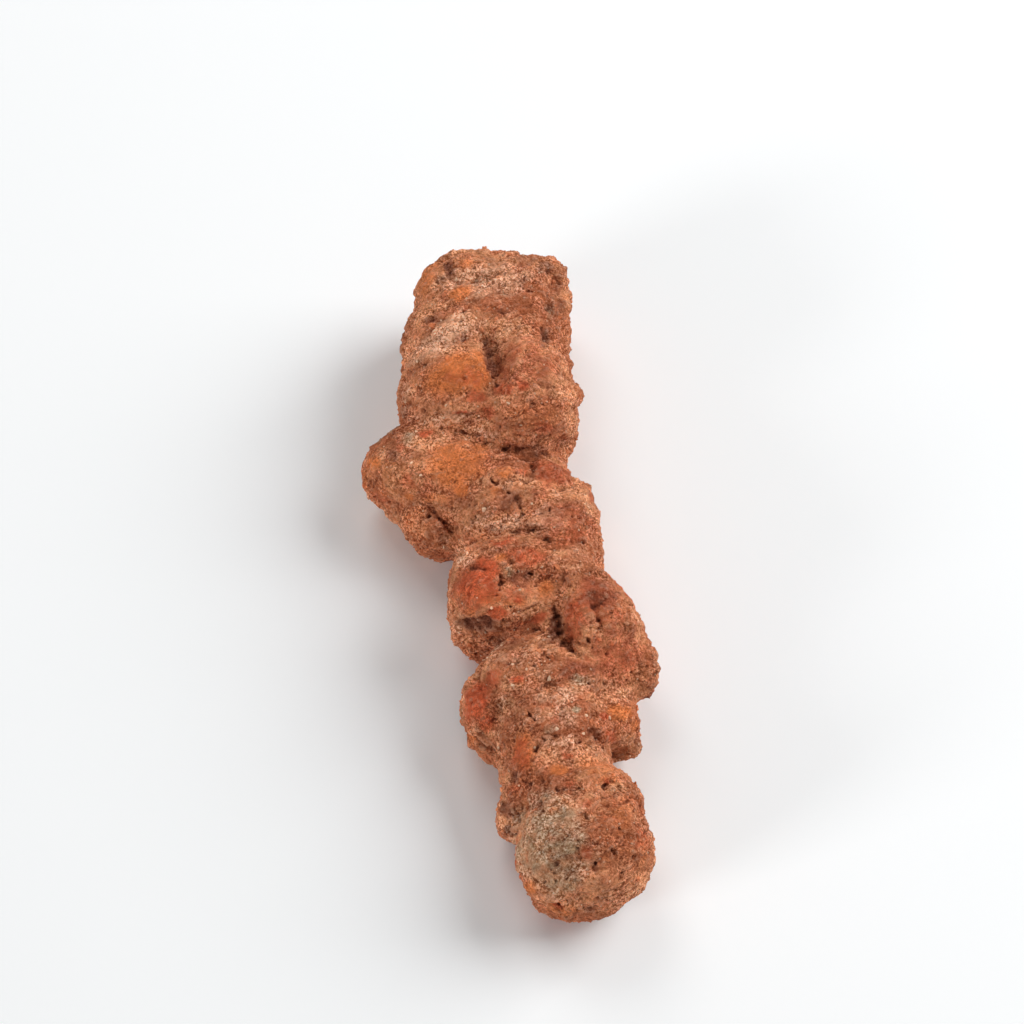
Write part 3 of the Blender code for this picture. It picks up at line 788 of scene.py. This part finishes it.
# %% Pits
PITS = (
    # across, down and radius in the picture, depth in millimetres
    (463, 310, 3.4, 0.8), (474, 266, 2.6, 0.5), (432, 297, 2.6, 0.5), (443, 292, 2.4, 0.5),
    (436, 281, 2.6, 0.5), (440, 277, 2.0, 0.4), (421, 296, 2.0, 0.4), (419, 303, 2.2, 0.4),
    (510, 289, 1.9, 0.5), (505, 293, 1.8, 0.4), (523, 279, 3.0, 0.5), (520, 271, 2.2, 0.4),
    (521, 284, 2.0, 0.4), (531, 403, 2.6, 0.45), (526, 348, 2.6, 0.5), (547, 355, 2.6, 0.6),
    (424, 410, 2.8, 0.5), (404, 414, 3.6, 0.8), (466, 393, 2.0, 0.45), (505, 393, 2.0, 0.3),
    (549, 436, 2.4, 0.4), (498, 427, 4.0, 0.4), (561, 452, 3.0, 0.5), (393, 454, 3.6, 0.5),
    (379, 476, 2.2, 0.3), (394, 514, 2.4, 0.6), (382, 493, 2.0, 0.4), (428, 516, 3.2, 0.8),
    (446, 508, 2.6, 0.5), (426, 499, 2.4, 0.4), (509, 491, 2.4, 0.6), (525, 489, 2.2, 0.5),
    (496, 488, 2.0, 0.3), (505, 496, 2.2, 0.4), (560, 510, 3.0, 0.7), (572, 516, 2.2, 0.6),
    (579, 517, 2.6, 0.6), (584, 500, 3.0, 0.6), (550, 508, 2.4, 0.5), (500, 525, 2.2, 0.5),
    (489, 515, 2.2, 0.4), (558, 484, 2.0, 0.4), (573, 498, 2.0, 0.4), (489, 542, 2.0, 0.5),
    (470, 553, 2.2, 0.4), (469, 595, 2.4, 0.5), (533, 574, 2.6, 0.7), (535, 583, 2.6, 0.6),
    (526, 585, 2.4, 0.5), (518, 570, 2.2, 0.4), (562, 577, 4.2, 0.8), (569, 584, 3.0, 0.6),
    (565, 567, 2.6, 0.6), (554, 568, 2.6, 0.6), (575, 573, 2.4, 0.7), (550, 555, 2.4, 0.5),
    (560, 591, 2.0, 0.5), (571, 604, 2.2, 0.5), (510, 606, 2.2, 0.4), (489, 610, 2.2, 0.4),
    (475, 627, 3.2, 0.6), (486, 632, 2.4, 0.5), (503, 621, 2.4, 0.5), (588, 640, 4.0, 0.7),
    (590, 628, 2.4, 0.5), (598, 628, 2.0, 0.4), (592, 647, 2.2, 0.4), (608, 654, 2.4, 0.6),
    (612, 617, 2.0, 0.4), (627, 681, 2.2, 0.8), (589, 683, 3.0, 0.6), (605, 682, 2.4, 0.6),
    (627, 691, 2.2, 0.5), (646, 666, 2.2, 0.4), (632, 672, 2.0, 0.4), (533, 663, 2.6, 0.5),
    (548, 655, 2.4, 0.5), (467, 710, 2.2, 0.4), (534, 718, 2.0, 0.5), (594, 715, 2.6, 0.6),
    (597, 737, 2.4, 0.6), (637, 743, 3.0, 0.5), (603, 698, 2.2, 0.4), (499, 760, 2.0, 0.4),
    (521, 794, 1.8, 0.4), (538, 826, 3.0, 0.25), (621, 826, 2.2, 0.6), (611, 813, 2.2, 0.5),
    (605, 812, 2.6, 0.5), (598, 843, 2.2, 0.4), (613, 851, 3.4, 0.6), (637, 836, 2.2, 0.5),
    (594, 849, 2.2, 0.4), (633, 857, 3.0, 0.4), (639, 869, 2.2, 0.4), (622, 873, 2.2, 0.5),
    (575, 879, 2.0, 0.4), (598, 897, 2.4, 0.5), (607, 901, 2.6, 0.5), (590, 909, 3.0, 0.6),
    (558, 907, 2.4, 0.6), (563, 887, 2.0, 0.4), (543, 882, 2.2, 0.3), (578, 862, 2.2, 0.3),
)
SCATTERED_PITS = 1500
PIT_RADIUS = (0.2, 0.5)
PIT_DEPTH = 0.85
PIT_REACH = 1.5
PIT_STEEP = 0.8
PIT_RIM, RIM_AWAY, RIM_WIDTH = 0.05, 1.2, 0.25
PIT_SHALLOWER = (0.5, 1.0)
FEW_LARGE = 2.5
# How many points of the picture farther off a place out of sight counts.
OUT_OF_SIGHT = 50
PIT_RAGGED = 0.5
PIT_RAGGED_SIZE = 0.5 * MM
PIT_STRETCH = (1.0, 2.2)

points = read_points(skin.data)
near = tree_of(points)
body_normals = sight.normals
dug = np.zeros(len(points))
picture_places = in_picture(sight.points)
ragged = 1 + PIT_RAGGED * noise_at(points, PIT_RAGGED_SIZE, seed=4)


def pit(middle, radius, depth):
    """Digs one pit, stretched some random way: radius in metres, depth in millimetres."""
    stretch = draw.uniform(*PIT_STRETCH)
    heading = draw.normal(size=3)
    found = near.find_range(Vector(middle), radius * PIT_REACH * stretch)
    if not found:
        return
    index = np.array([i for _, i, _ in found], int)
    arm = points[index] - middle
    along = arm @ heading / np.linalg.norm(heading)
    gap = np.sqrt(np.maximum((arm**2).sum(1) - along**2 * (1 - stretch**-2), 0))
    gap = gap * math.sqrt(stretch) / radius * ragged[index]
    bowl = depth * np.clip(1 - gap**2, 0, 1) ** PIT_STEEP
    rim = PIT_RIM * depth * np.exp(-(((gap - RIM_AWAY) / RIM_WIDTH) ** 2))
    dug[index] = np.maximum(dug[index], bowl) - rim


for across, down, radius, depth in PITS:
    gaps = np.hypot(*(picture_places - (across, down)).T) + OUT_OF_SIGHT * (1 - sight.facing)
    pit(points[gaps.argmin()], radius * POINT, depth)
chance = crumbly / crumbly.sum()
for index in draw.choice(len(points), SCATTERED_PITS, p=chance):
    radius = PIT_RADIUS[0] + (PIT_RADIUS[1] - PIT_RADIUS[0]) * draw.random() ** FEW_LARGE
    pit(points[index], radius * MM, radius * draw.uniform(*PIT_SHALLOWER) * PIT_DEPTH)
points -= body_normals * dug[:, None] * MM
print(len(PITS) + SCATTERED_PITS, "pits, deepest", round(float(dug.max()), 2), "mm")

# %% [markdown]
# ## Worn belly and the stone's box
#
# The bellies that the stone lies on are worn flat again, and the whole skin is fitted into the
# packed stone's box, so that nothing changes size. How far each point lies in a hollow or on
# a crest is then measured against a smoothed copy, for the material to darken the pits. Last,
# Decimate takes out points where the skin is even, which keeps the pits sharp in a lighter mesh.
# It can push a point out a hair, so every point is held to the box once more.

# %% Fit, measure and lighten
WORN = 0.3 * MM
HOLLOW_STEPS = 14
MOST_TRIANGLES = 197_000

points[:, 2] = np.maximum(points[:, 2], points[:, 2].min() + WORN)
low, high = points.min(0), points.max(0)
points = (points - low) / (high - low) * (BOX_HIGH - BOX_LOW) + BOX_LOW
write_points(skin.data, points)

smooth_copy = new_object("smooth_copy", skin.data.copy())
modify(smooth_copy, "SMOOTH", factor=0.5, iterations=HOLLOW_STEPS)
crest = ((points - read_points(smooth_copy.data)) * body_normals).sum(1) / MM
bpy.data.objects.remove(smooth_copy)
keep(skin.data, "crest", crest)
print("crests and hollows in mm:", np.percentile(crest, [1, 25, 50, 75, 99]).round(3))

skin.data.calc_loop_triangles()
share = MOST_TRIANGLES / len(skin.data.loop_triangles)
modify(skin, "DECIMATE", ratio=share, use_collapse_triangulate=True)
write_points(skin.data, np.clip(read_points(skin.data), BOX_LOW, BOX_HIGH))
skin.data.shade_smooth()
print("skin:", len(skin.data.vertices), "points,", len(skin.data.polygons), "triangles")
print("kept on the skin:", [a.name for a in skin.data.attributes if a.domain == "POINT"])

# %% [markdown]
# ## Sand grains
#
# Quartz sand stands out of the real skin and gives it its sugary look. One grain is modelled from
# an icosphere whose points are pulled about, in a few shapes. Each shape is then repeated over the
# skin at random places, turned and stretched, and sunk in. All grains of one kind are one mesh,
# because thousands of objects would be slow. A grain remembers the stain of the skin it sits on
# and has a tone of its own.

# %% One grain, in a few shapes
GRAIN_SHAPES = 5
GRAIN_RAGGED, GRAIN_EVEN = 0.45, 0.6
GRAIN_STRETCH = (0.6, 1.3)
BOX_MARGIN = 0.02 * MM


def grain_shape(seed, cuts):
    """The points and triangles of one ragged grain of radius 1."""
    bpy.ops.object.select_all(action="DESELECT")
    bpy.ops.mesh.primitive_ico_sphere_add(subdivisions=cuts, radius=1)
    grain = bpy.context.object
    bpy.ops.object.mode_set(mode="EDIT")
    bpy.ops.mesh.select_all(action="SELECT")
    bpy.ops.transform.vertex_random(offset=GRAIN_RAGGED, uniform=GRAIN_EVEN, seed=seed)
    bpy.ops.object.mode_set(mode="OBJECT")
    corners = read_points(grain.data)
    faces = np.array([tuple(face.vertices) for face in grain.data.polygons])
    bpy.data.objects.remove(grain)
    return corners, faces


GRAINS = [grain_shape(seed, 1) for seed in range(GRAIN_SHAPES)]
CRUMBS = [grain_shape(seed, 2) for seed in range(GRAIN_SHAPES)]
print("a grain has", len(GRAINS[0][1]), "faces, a crumb", len(CRUMBS[0][1]))

# %% [markdown]
# ## The skin's triangles
#
# The grains are strewn on the triangles of the skin. Arrays hold the corners, the normal and the
# area of each, so that a large one gets more grains than a small one. The marks of the stains are
# read too, because a grain takes the colour of its place.

# %% Triangles of the skin
TINY = 1e-15

skin.data.calc_loop_triangles()
corner_index = np.empty(len(skin.data.loop_triangles) * 3, np.int32)
skin.data.loop_triangles.foreach_get("vertices", corner_index)
corner_index = corner_index.reshape(-1, 3)
skin_points = read_points(skin.data)
first, second, third = (skin_points[corner_index[:, k]] for k in range(3))
face_normals = np.cross(second - first, third - first)
face_areas = np.linalg.norm(face_normals, axis=1) / 2
face_normals /= np.maximum(2 * face_areas, TINY)[:, None]
skin_marks = {}
for colour in (*STAINS, "crest"):
    skin_marks[colour] = np.empty(len(skin_points), np.float32)
    skin.data.attributes[colour].data.foreach_get("value", skin_marks[colour])
print("triangles to strew on:", len(corner_index))

# %% [markdown]
# ## A mesh of many grains
#
# Geometry Nodes could scatter the grains too, but arrays make one plain mesh at once. Each grain
# gets a random place in its triangle, a shape, a turn, a stretch, a tone and its own small square
# on the map.

# %% Strewing
MAP_SPREAD = 0.3


def random_turns(count):
    """Random rotation matrices."""
    q = draw.normal(size=(count, 4))
    q /= np.linalg.norm(q, axis=1)[:, None]
    w, x, y, z = q.T
    rows = [
        1 - 2 * (y * y + z * z), 2 * (x * y - z * w), 2 * (x * z + y * w),
        2 * (x * y + z * w), 1 - 2 * (x * x + z * z), 2 * (y * z - x * w),
        2 * (x * z - y * w), 2 * (y * z + x * w), 1 - 2 * (x * x + y * y),
    ]
    return np.stack(rows, 1).reshape(-1, 3, 3)


def strew(name, shapes, faces_at, radii, sink, tones):
    """One mesh of grains, one on each of the given skin faces."""
    count = len(faces_at)
    share = draw.dirichlet((1, 1, 1), count)
    at = sum(share[:, k, None] * skin_points[corner_index[faces_at, k]] for k in range(3))
    at = at + face_normals[faces_at] * (radii * sink)[:, None]
    which = draw.integers(0, len(shapes), count)
    stretch = draw.uniform(*GRAIN_STRETCH, (count, 1, 3))
    corners = np.stack([s[0] for s in shapes])[which] * stretch * radii[:, None, None]
    corners = np.einsum("nij,nkj->nki", random_turns(count), corners) + at[:, None]
    corners = np.clip(corners, BOX_LOW + BOX_MARGIN, BOX_HIGH - BOX_MARGIN)
    size = corners.shape[1]
    faces = np.stack([s[1] for s in shapes])[which] + (np.arange(count) * size)[:, None, None]
    mesh = bpy.data.meshes.new(name)
    mesh.from_pydata(corners.reshape(-1, 3), [], faces.reshape(-1, 3))
    grains = new_object(name, mesh)
    for colour, values in skin_marks.items():
        keep(mesh, colour, np.repeat(values[corner_index[faces_at, 0]], size))
    keep(mesh, "tone", np.repeat(tones, size).astype(np.float32))
    # Each grain gets a small square of its own on the map.
    side = math.ceil(math.sqrt(count))
    cell = np.stack([np.arange(count) % side, np.arange(count) // side], 1)
    spread = np.stack([s[0] for s in shapes])[which][:, :, :2] * MAP_SPREAD + 0.5
    places = ((cell[:, None] + spread) / side).reshape(-1, 2)
    loops = np.empty(len(mesh.loops), np.int32)
    mesh.loops.foreach_get("vertex_index", loops)
    mesh.uv_layers.new(name="OFBake").data.foreach_set("uv", places[loops].astype(np.float32).ravel())
    mesh.shade_flat()
    print(name, count, "grains,", len(mesh.polygons), "triangles")
    return grains


print("ready to strew", len(GRAINS), "shapes of grain and", len(CRUMBS), "of crumb")

# %% [markdown]
# ## Sand, quartz and crumbs
#
# Half-sunk sand covers the rough skin, pale quartz gathers where the stains are pale and at some
# named places that catch the eye, and larger crumbs make the outline uneven. All three leave the
# worn belly free. Quartz and crumbs are mostly small, as their random share is squared.

# %% Sand, quartz and crumbs
SAND_COUNT, PALE_COUNT, CRUMB_COUNT = 7000, 420, 1300
# Radii in millimetres: the sand's from and to, the others' least and the most that is added.
SAND_RADIUS, PALE_RADIUS, CRUMB_RADIUS = (0.12, 0.24), (0.1, 0.12), (0.22, 0.26)
SAND_SINK, PALE_SINK, CRUMB_SINK = -0.35, 0.0, -0.5
SAND_TONES, PALE_TONES, CRUMB_TONES = (0.7, 1.3), (0.75, 1.1), (0.85, 1.15)
RED_BARE, MOST_BARE = 0.8, 0.8
BELLY_NORMAL = -0.9
PALE_ANYWHERE, PALE_GATHERED = 0.2, 3
PALE_SPOTS = (
    # across, down and radius in the picture
    (416, 362, 2.2), (456, 280, 2.6), (491, 385, 1.8), (509, 403, 2.6), (521, 425, 2.2), (573, 415, 1.4),
    (462, 429, 1.4), (444, 418, 2.2), (445, 405, 1.8), (478, 406, 1.8), (484, 509, 2.8), (530, 503, 2.4),
    (585, 494, 2.3), (585, 504, 1.7), (548, 540, 2.2), (412, 463, 1.8), (420, 476, 2.6), (387, 467, 1.8),
    (417, 431, 3.0), (485, 632, 2.6), (490, 607, 2.6), (513, 613, 1.6), (518, 587, 2.4), (520, 590, 1.8),
    (443, 547, 2.2), (574, 688, 1.8), (655, 674, 1.8), (549, 678, 3.2), (557, 728, 2.6), (586, 716, 2.2),
    (610, 718, 2.2), (629, 755, 2.2), (500, 746, 1.8), (515, 685, 2.6), (527, 671, 1.8), (583, 733, 2.2),
)
SPOT_SIZE = 0.8

bare = np.clip(skin_marks["orange"] + RED_BARE * skin_marks["red"], 0, MOST_BARE)
chance = face_areas * (1 - bare)[corner_index[:, 0]] * (face_normals[:, 2] > BELLY_NORMAL)
chance /= chance.sum()
sand_at = draw.choice(len(chance), SAND_COUNT, p=chance)
sand = strew(
    "sand_grains", GRAINS, sand_at, draw.uniform(*SAND_RADIUS, SAND_COUNT) * MM, SAND_SINK,
    draw.uniform(*SAND_TONES, SAND_COUNT),
)
pale_chance = chance * (PALE_ANYWHERE + PALE_GATHERED * skin_marks["pale"][corner_index[:, 0]])
pale_at = draw.choice(len(chance), PALE_COUNT, p=pale_chance / pale_chance.sum())
pale_radii = (PALE_RADIUS[0] + PALE_RADIUS[1] * draw.random(PALE_COUNT) ** 2) * MM
face_places = in_picture((first + second + third) / 3)
turned_away = OUT_OF_SIGHT * (face_normals @ np.array(BACK) < FACING[1])
spots_at = [np.argmin(np.hypot(*(face_places - spot[:2]).T) + turned_away) for spot in PALE_SPOTS]
spot_radii = np.array([SPOT_SIZE * radius * POINT for _, _, radius in PALE_SPOTS])
pale_grains = strew(
    "pale_grains", GRAINS, np.append(pale_at, spots_at), np.append(pale_radii, spot_radii),
    PALE_SINK, draw.uniform(*PALE_TONES, PALE_COUNT + len(PALE_SPOTS)),
)
crumb_at = draw.choice(len(chance), CRUMB_COUNT, p=chance)
crumb_radii = (CRUMB_RADIUS[0] + CRUMB_RADIUS[1] * draw.random(CRUMB_COUNT) ** 2) * MM
crumbs = strew(
    "crumbs", CRUMBS, crumb_at, crumb_radii, CRUMB_SINK, draw.uniform(*CRUMB_TONES, CRUMB_COUNT)
)

# %% [markdown]
# ## Small tools for shader nodes
#
# The same few kinds of node come again and again in a stone's material: noise, a smooth step from
# one value to another, a sum or a product, and one colour laid over another. A short function for
# each keeps the recipes below readable. Colours are given as they look on a screen. The values of
# a cloud of noise gather around 0.5, so the two limits between which it is read set how much of it
# shows, and how hard its edges are.

# %% Node tools


def paint(red, green, blue):
    """A colour given in screen values of 0 to 255, as Blender's linear colour."""
    screen = np.array([red, green, blue]) / 255
    return (*np.where(screen <= 0.04045, screen / 12.92, ((screen + 0.055) / 1.055) ** 2.4), 1)


def mix(tree, factor, a, b, blend="MIX"):
    """One colour laid over another. Inputs 6 and 7 of the node are its two colours."""
    return node(tree, "Mix", {0: factor, 6: a, 7: b}, data_type="RGBA", blend_type=blend).outputs[2]


def maths(tree, operation, a, b=0.0, c=0.0):
    """The result of a sum with two values, or three."""
    return node(tree, "Math", {0: a, 1: b, 2: c}, operation=operation).outputs[0]


def between(tree, value, low, high, to_low=0.0, to_high=1.0):
    """The value's place from low to high, smoothed."""
    limits = {"Value": value, "From Min": low, "From Max": high, "To Min": to_low, "To Max": to_high}
    return node(tree, "MapRange", limits, interpolation_type="SMOOTHSTEP").outputs[0]


def times(tree, product, *others):
    """Several values multiplied."""
    for other in others:
        product = maths(tree, "MULTIPLY", product, other)
    return product


def shaded(tree, colour, value):
    """A colour made lighter or darker by a value."""
    grey = node(tree, "CombineColor", {0: value, 1: value, 2: value}).outputs[0]
    return mix(tree, 1.0, colour, grey, "MULTIPLY")


def kept(tree, name):
    """The values that the points keep under a name."""
    return node(tree, "Attribute", attribute_name=name).outputs["Fac"]


def cloud(tree, place, scale, detail=3.0, roughness=0.55):
    """Noise: scale counts its clouds in a metre, detail its finer layers."""
    return node(
        tree, "TexNoise", {"Vector": place, "Scale": scale, "Detail": detail, "Roughness": roughness}
    ).outputs["Fac"]


def new_group(name, inputs, outputs):
    """A node group with the given sockets, and its two ends."""
    group = bpy.data.node_groups.new(name, "ShaderNodeTree")
    for sockets, way in ((inputs, "INPUT"), (outputs, "OUTPUT")):
        for socket, kind in sockets.items():
            group.interface.new_socket(socket, in_out=way, socket_type="NodeSocket" + kind)
    return group, group.nodes.new("NodeGroupInput").outputs, group.nodes.new("NodeGroupOutput").inputs


print("mid grey is", paint(128, 128, 128)[0].round(3), "to Blender")

# %% [markdown]
# ## The stone's colour
#
# Two effects are shared by the skin and the grains, so each is a node group. The first is the
# stone's colour: a base of pinkish tan and red-brown mud in flowing bands, with the stains laid
# over it through their masks; the brown one also carries the painted shade of creases and
# overhangs, and some broad ovals paint light and shade. Noise eats the edge of each stain, so that it
# breaks up into specks, and a last mottle makes the whole a little lighter here and darker there.

# %% Rusty stone group
TAN, MUD = paint(226, 149, 102), paint(178, 97, 58)
ROSE = paint(202, 116, 78)
STAIN_COLOURS = {
    "pale": paint(247, 180, 138),
    "orange": paint(223, 123, 65),
    "red": paint(204, 89, 50),
    # The brown also paints the shade in creases and under overhangs.
    "brown": paint(134, 74, 50),
    "grey": paint(186, 148, 113),
}
# How many of each fit in a metre.
BANDS, MOTTLES, PATCHES, NIBBLES = 150, 330, 420, 600
BAND_STRETCH = (0.4, 1, 1)
PATCH_STRENGTH, NIBBLE_STRENGTH = 0.6, 1.6
MOTTLE_LIGHT = (0.85, 1.13)

rusty, given, result = new_group("Rusty stone", {"Place": "Vector"}, {"Color": "Color"})
flowing = node(
    rusty, "Mapping", {"Vector": given["Place"], "Rotation": (0, 0, -FLOW_TURN), "Scale": BAND_STRETCH}
).outputs[0]
bands = between(rusty, cloud(rusty, flowing, BANDS, 4), 0.38, 0.62)
patchy = between(rusty, cloud(rusty, given["Place"], PATCHES, 4), 0.42, 0.62)
colour = mix(rusty, bands, TAN, MUD)
colour = mix(rusty, times(rusty, patchy, PATCH_STRENGTH), colour, ROSE)
eaten = maths(rusty, "SUBTRACT", cloud(rusty, given["Place"], NIBBLES, 5, 0.7), 0.5)
eaten = times(rusty, eaten, NIBBLE_STRENGTH)
for name, stain_colour in STAIN_COLOURS.items():
    mask = between(rusty, maths(rusty, "ADD", kept(rusty, name), eaten), 0.05, 0.95)
    colour = mix(rusty, mask, colour, stain_colour)
mottle = between(rusty, cloud(rusty, given["Place"], MOTTLES, 4, 0.6), 0.36, 0.64, *MOTTLE_LIGHT)
rusty.links.new(shaded(rusty, colour, mottle), result["Color"])
print("rusty stone:", len(rusty.nodes), "nodes")

# %% [markdown]
# ## Sand in the skin
#
# The second group is the fine sand that is too small to model. It starts with a speckle of light
# and dark that is louder in busy patches and quieter on smooth skin, and follows the flow. The
# speckle comes from the same noise as the bump, so it is partly the grains' own colour and partly
# painted shade in the sand's small hollows. A light grain of this stone is paler and a dark one
# redder. So each colour channel takes the speckle to a power of its own, which is lowest for red and
# highest for blue.

# %% Fine sand group, speckle
# How many of each fit in a metre.
BENDS, BUSY_PATCHES, COARSE_GRAINS, FINE_GRAINS = 140, 260, 1600, 2400
BEND = 4 * MM
GRAIN_FLOW = (0.5, 1, 1)
FINE_LIGHT, COARSE_LIGHT = (-0.68, 0.82), (-0.27, 0.27)
BUSY_LIGHT = (0.45, 1.2)
SPECK_GAIN, SPECK_MIDDLE, DARKEST = 0.94, 1.06, 0.45
SPECK_POWERS = (1.0, 1.4, 1.85)

fine_sand, given, result = new_group(
    "Fine sand",
    {"Place": "Vector", "Color": "Color", "Smooth": "Float"},
    {"Color": "Color", "Height": "Float"},
)
bend = node(fine_sand, "TexNoise", {"Vector": given["Place"], "Scale": BENDS, "Detail": 1}).outputs["Color"]
bent = node(
    fine_sand, "VectorMath", {0: bend, 1: (BEND, BEND, BEND), 2: given["Place"]}, operation="MULTIPLY_ADD"
).outputs[0]
flowing = node(
    fine_sand, "Mapping", {"Vector": bent, "Rotation": (0, 0, -FLOW_TURN), "Scale": GRAIN_FLOW}
).outputs[0]
coarse = cloud(fine_sand, flowing, COARSE_GRAINS, 3, 0.6)
fine = cloud(fine_sand, given["Place"], FINE_GRAINS, 4, 0.75)
loud = between(fine_sand, given["Smooth"], 0.1, 0.8, 1.0, 0.5)
# Grain colour and painted shade of the sand's small hollows, from the bump's own noise.
light = maths(
    fine_sand, "ADD",
    between(fine_sand, fine, 0.36, 0.66, *FINE_LIGHT),
    between(fine_sand, coarse, 0.32, 0.68, *COARSE_LIGHT),
)
busy = between(fine_sand, cloud(fine_sand, given["Place"], BUSY_PATCHES, 3), 0.4, 0.6, *BUSY_LIGHT)
light = maths(fine_sand, "MULTIPLY_ADD", times(fine_sand, light, loud, busy), SPECK_GAIN, SPECK_MIDDLE)
light = maths(fine_sand, "MAXIMUM", light, DARKEST)
parts = [maths(fine_sand, "POWER", light, power) for power in SPECK_POWERS]
bright = node(fine_sand, "CombineColor", dict(enumerate(parts))).outputs[0]
colour = mix(fine_sand, 1.0, given["Color"], bright, "MULTIPLY")
print("fine sand so far:", len(fine_sand.nodes), "nodes")

# %% [markdown]
# ## Pinholes and specks of quartz
#
# In clusters, the skin also has pinholes along the flow, too small to model, whose shade is painted
# dark, and single pale grains, for which Voronoi cells are chosen by their random colour. The group's
# height, for the Bump node, is made of the same noise as the speckle, so that light and colour agree.

# %% Fine sand group, pinholes and quartz
# Pinholes too small to model, painted dark as their shade.
PINHOLE_SHADE = paint(98, 40, 20)
QUARTZ = paint(230, 188, 156)
# How many of each fit in a metre.
CLUSTERS, CELLS, HOLES = 500, 1900, 2300
CHOSEN_CELLS = (0.80, 0.84)
PINHOLE_STRENGTH, QUARTZ_STRENGTH = 0.65, 0.75
COARSE_HEIGHT = 0.6

gathered = between(fine_sand, cloud(fine_sand, given["Place"], CLUSTERS, 3), 0.45, 0.65)
pinhole_shade = between(fine_sand, cloud(fine_sand, flowing, HOLES, 3), 0.42, 0.34)
pinhole_shade = times(fine_sand, pinhole_shade, gathered, loud, PINHOLE_STRENGTH)
colour = mix(fine_sand, pinhole_shade, colour, PINHOLE_SHADE)
cells = node(fine_sand, "TexVoronoi", {"Vector": given["Place"], "Scale": CELLS})
chance = node(fine_sand, "SeparateColor", {"Color": cells.outputs["Color"]}).outputs[0]
chosen = between(fine_sand, chance, *CHOSEN_CELLS)
round_cell = between(fine_sand, cells.outputs["Distance"], 0.45, 0.25)
bare = between(fine_sand, given["Smooth"], 0.1, 0.5, 1.0, 0.0)
quartz = times(fine_sand, chosen, round_cell, bare, gathered, QUARTZ_STRENGTH)
colour = mix(fine_sand, quartz, colour, QUARTZ)
height = maths(fine_sand, "ADD", times(fine_sand, coarse, COARSE_HEIGHT), fine)
fine_sand.links.new(colour, result["Color"])
fine_sand.links.new(height, result["Height"])
print("fine sand:", len(fine_sand.nodes), "nodes")

# %% [markdown]
# ## The materials
#
# The skin takes both groups, and the crest attribute darkens its hollows with dust and painted
# shade, and lightens the crests. The grains take the stone's colour too, changed by each grain's own
# tone, or bleached for the quartz, and their hollows are darkened the same way. All of it is rough
# and without shine.

# %% Materials
HOLLOW_DUST_AND_SHADE = paint(82, 36, 20)
CREST_LIGHT = paint(226, 168, 136)
CLEAR_QUARTZ = paint(250, 213, 178)
# Where each shade begins and is full, in millimetres of relief, and its strength there.
HOLLOWS = (-0.02, -0.32, 0.0, 0.88)
CRESTS = (0.02, 0.16, 0.0, 0.35)
GRAIN_HOLLOWS = (-0.05, -0.3, 0.0, 0.7)
BUMP_DEPTH = 0.55 * MM
STONE_ROUGH = (0.78, 0.97)


def grouped(tree, group, inputs):
    """Places a node group in a material, and gives its outputs."""
    made = tree.nodes.new("ShaderNodeGroup")
    made.node_tree = group
    for socket, value in inputs.items():
        tree.links.new(value, made.inputs[socket])
    return made.outputs


stone, tree, shader = plain_material("red_stone", {"Specular IOR Level": 0.25})
place = node(tree, "TexCoord").outputs["Object"]
colour = grouped(tree, rusty, {"Place": place})["Color"]
smooth = maths(tree, "MAXIMUM", kept(tree, "orange"), kept(tree, "red"))
sandy = grouped(tree, fine_sand, {"Place": place, "Color": colour, "Smooth": smooth})
crest = kept(tree, "crest")
# Hollows darkened with dust and painted shade, then crests lightened.
colour = mix(tree, between(tree, crest, *HOLLOWS), sandy["Color"], HOLLOW_DUST_AND_SHADE)
colour = mix(tree, between(tree, crest, *CRESTS), colour, CREST_LIGHT)
bump = node(tree, "Bump", {"Height": sandy["Height"], "Distance": BUMP_DEPTH, "Strength": 1.0})
tree.links.new(colour, shader.inputs["Base Color"])
tree.links.new(between(tree, sandy["Height"], 0.5, 1.1, *STONE_ROUGH), shader.inputs["Roughness"])
tree.links.new(bump.outputs["Normal"], shader.inputs["Normal"])
skin.data.materials.append(stone)


def grain_material(name, bleach, bleached):
    """Grains of the stone's own colour, bleached by a share towards another."""
    material, tree, shader = plain_material(name, {"Roughness": 0.8, "Specular IOR Level": 0.3})
    place = node(tree, "TexCoord").outputs["Object"]
    colour = grouped(tree, rusty, {"Place": place})["Color"]
    colour = shaded(tree, mix(tree, bleach, colour, bleached), kept(tree, "tone"))
    # Grains in the hollows get the same dust and painted shade.
    hollow = between(tree, kept(tree, "crest"), *GRAIN_HOLLOWS)
    tree.links.new(mix(tree, hollow, colour, HOLLOW_DUST_AND_SHADE), shader.inputs["Base Color"])
    return material


sand.data.materials.append(grain_material("sand", bleach=0.15, bleached=TAN))
crumbs.data.materials.append(grain_material("crumb_stone", bleach=0.0, bleached=TAN))
pale_grains.data.materials.append(grain_material("quartz", bleach=0.8, bleached=CLEAR_QUARTZ))
print("materials:", [m.name for m in bpy.data.materials if m.users])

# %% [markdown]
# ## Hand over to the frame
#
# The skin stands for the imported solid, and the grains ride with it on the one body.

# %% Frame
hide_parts("coprolite")
for piece in (skin, sand, pale_grains, crumbs):
    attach(piece, "root")
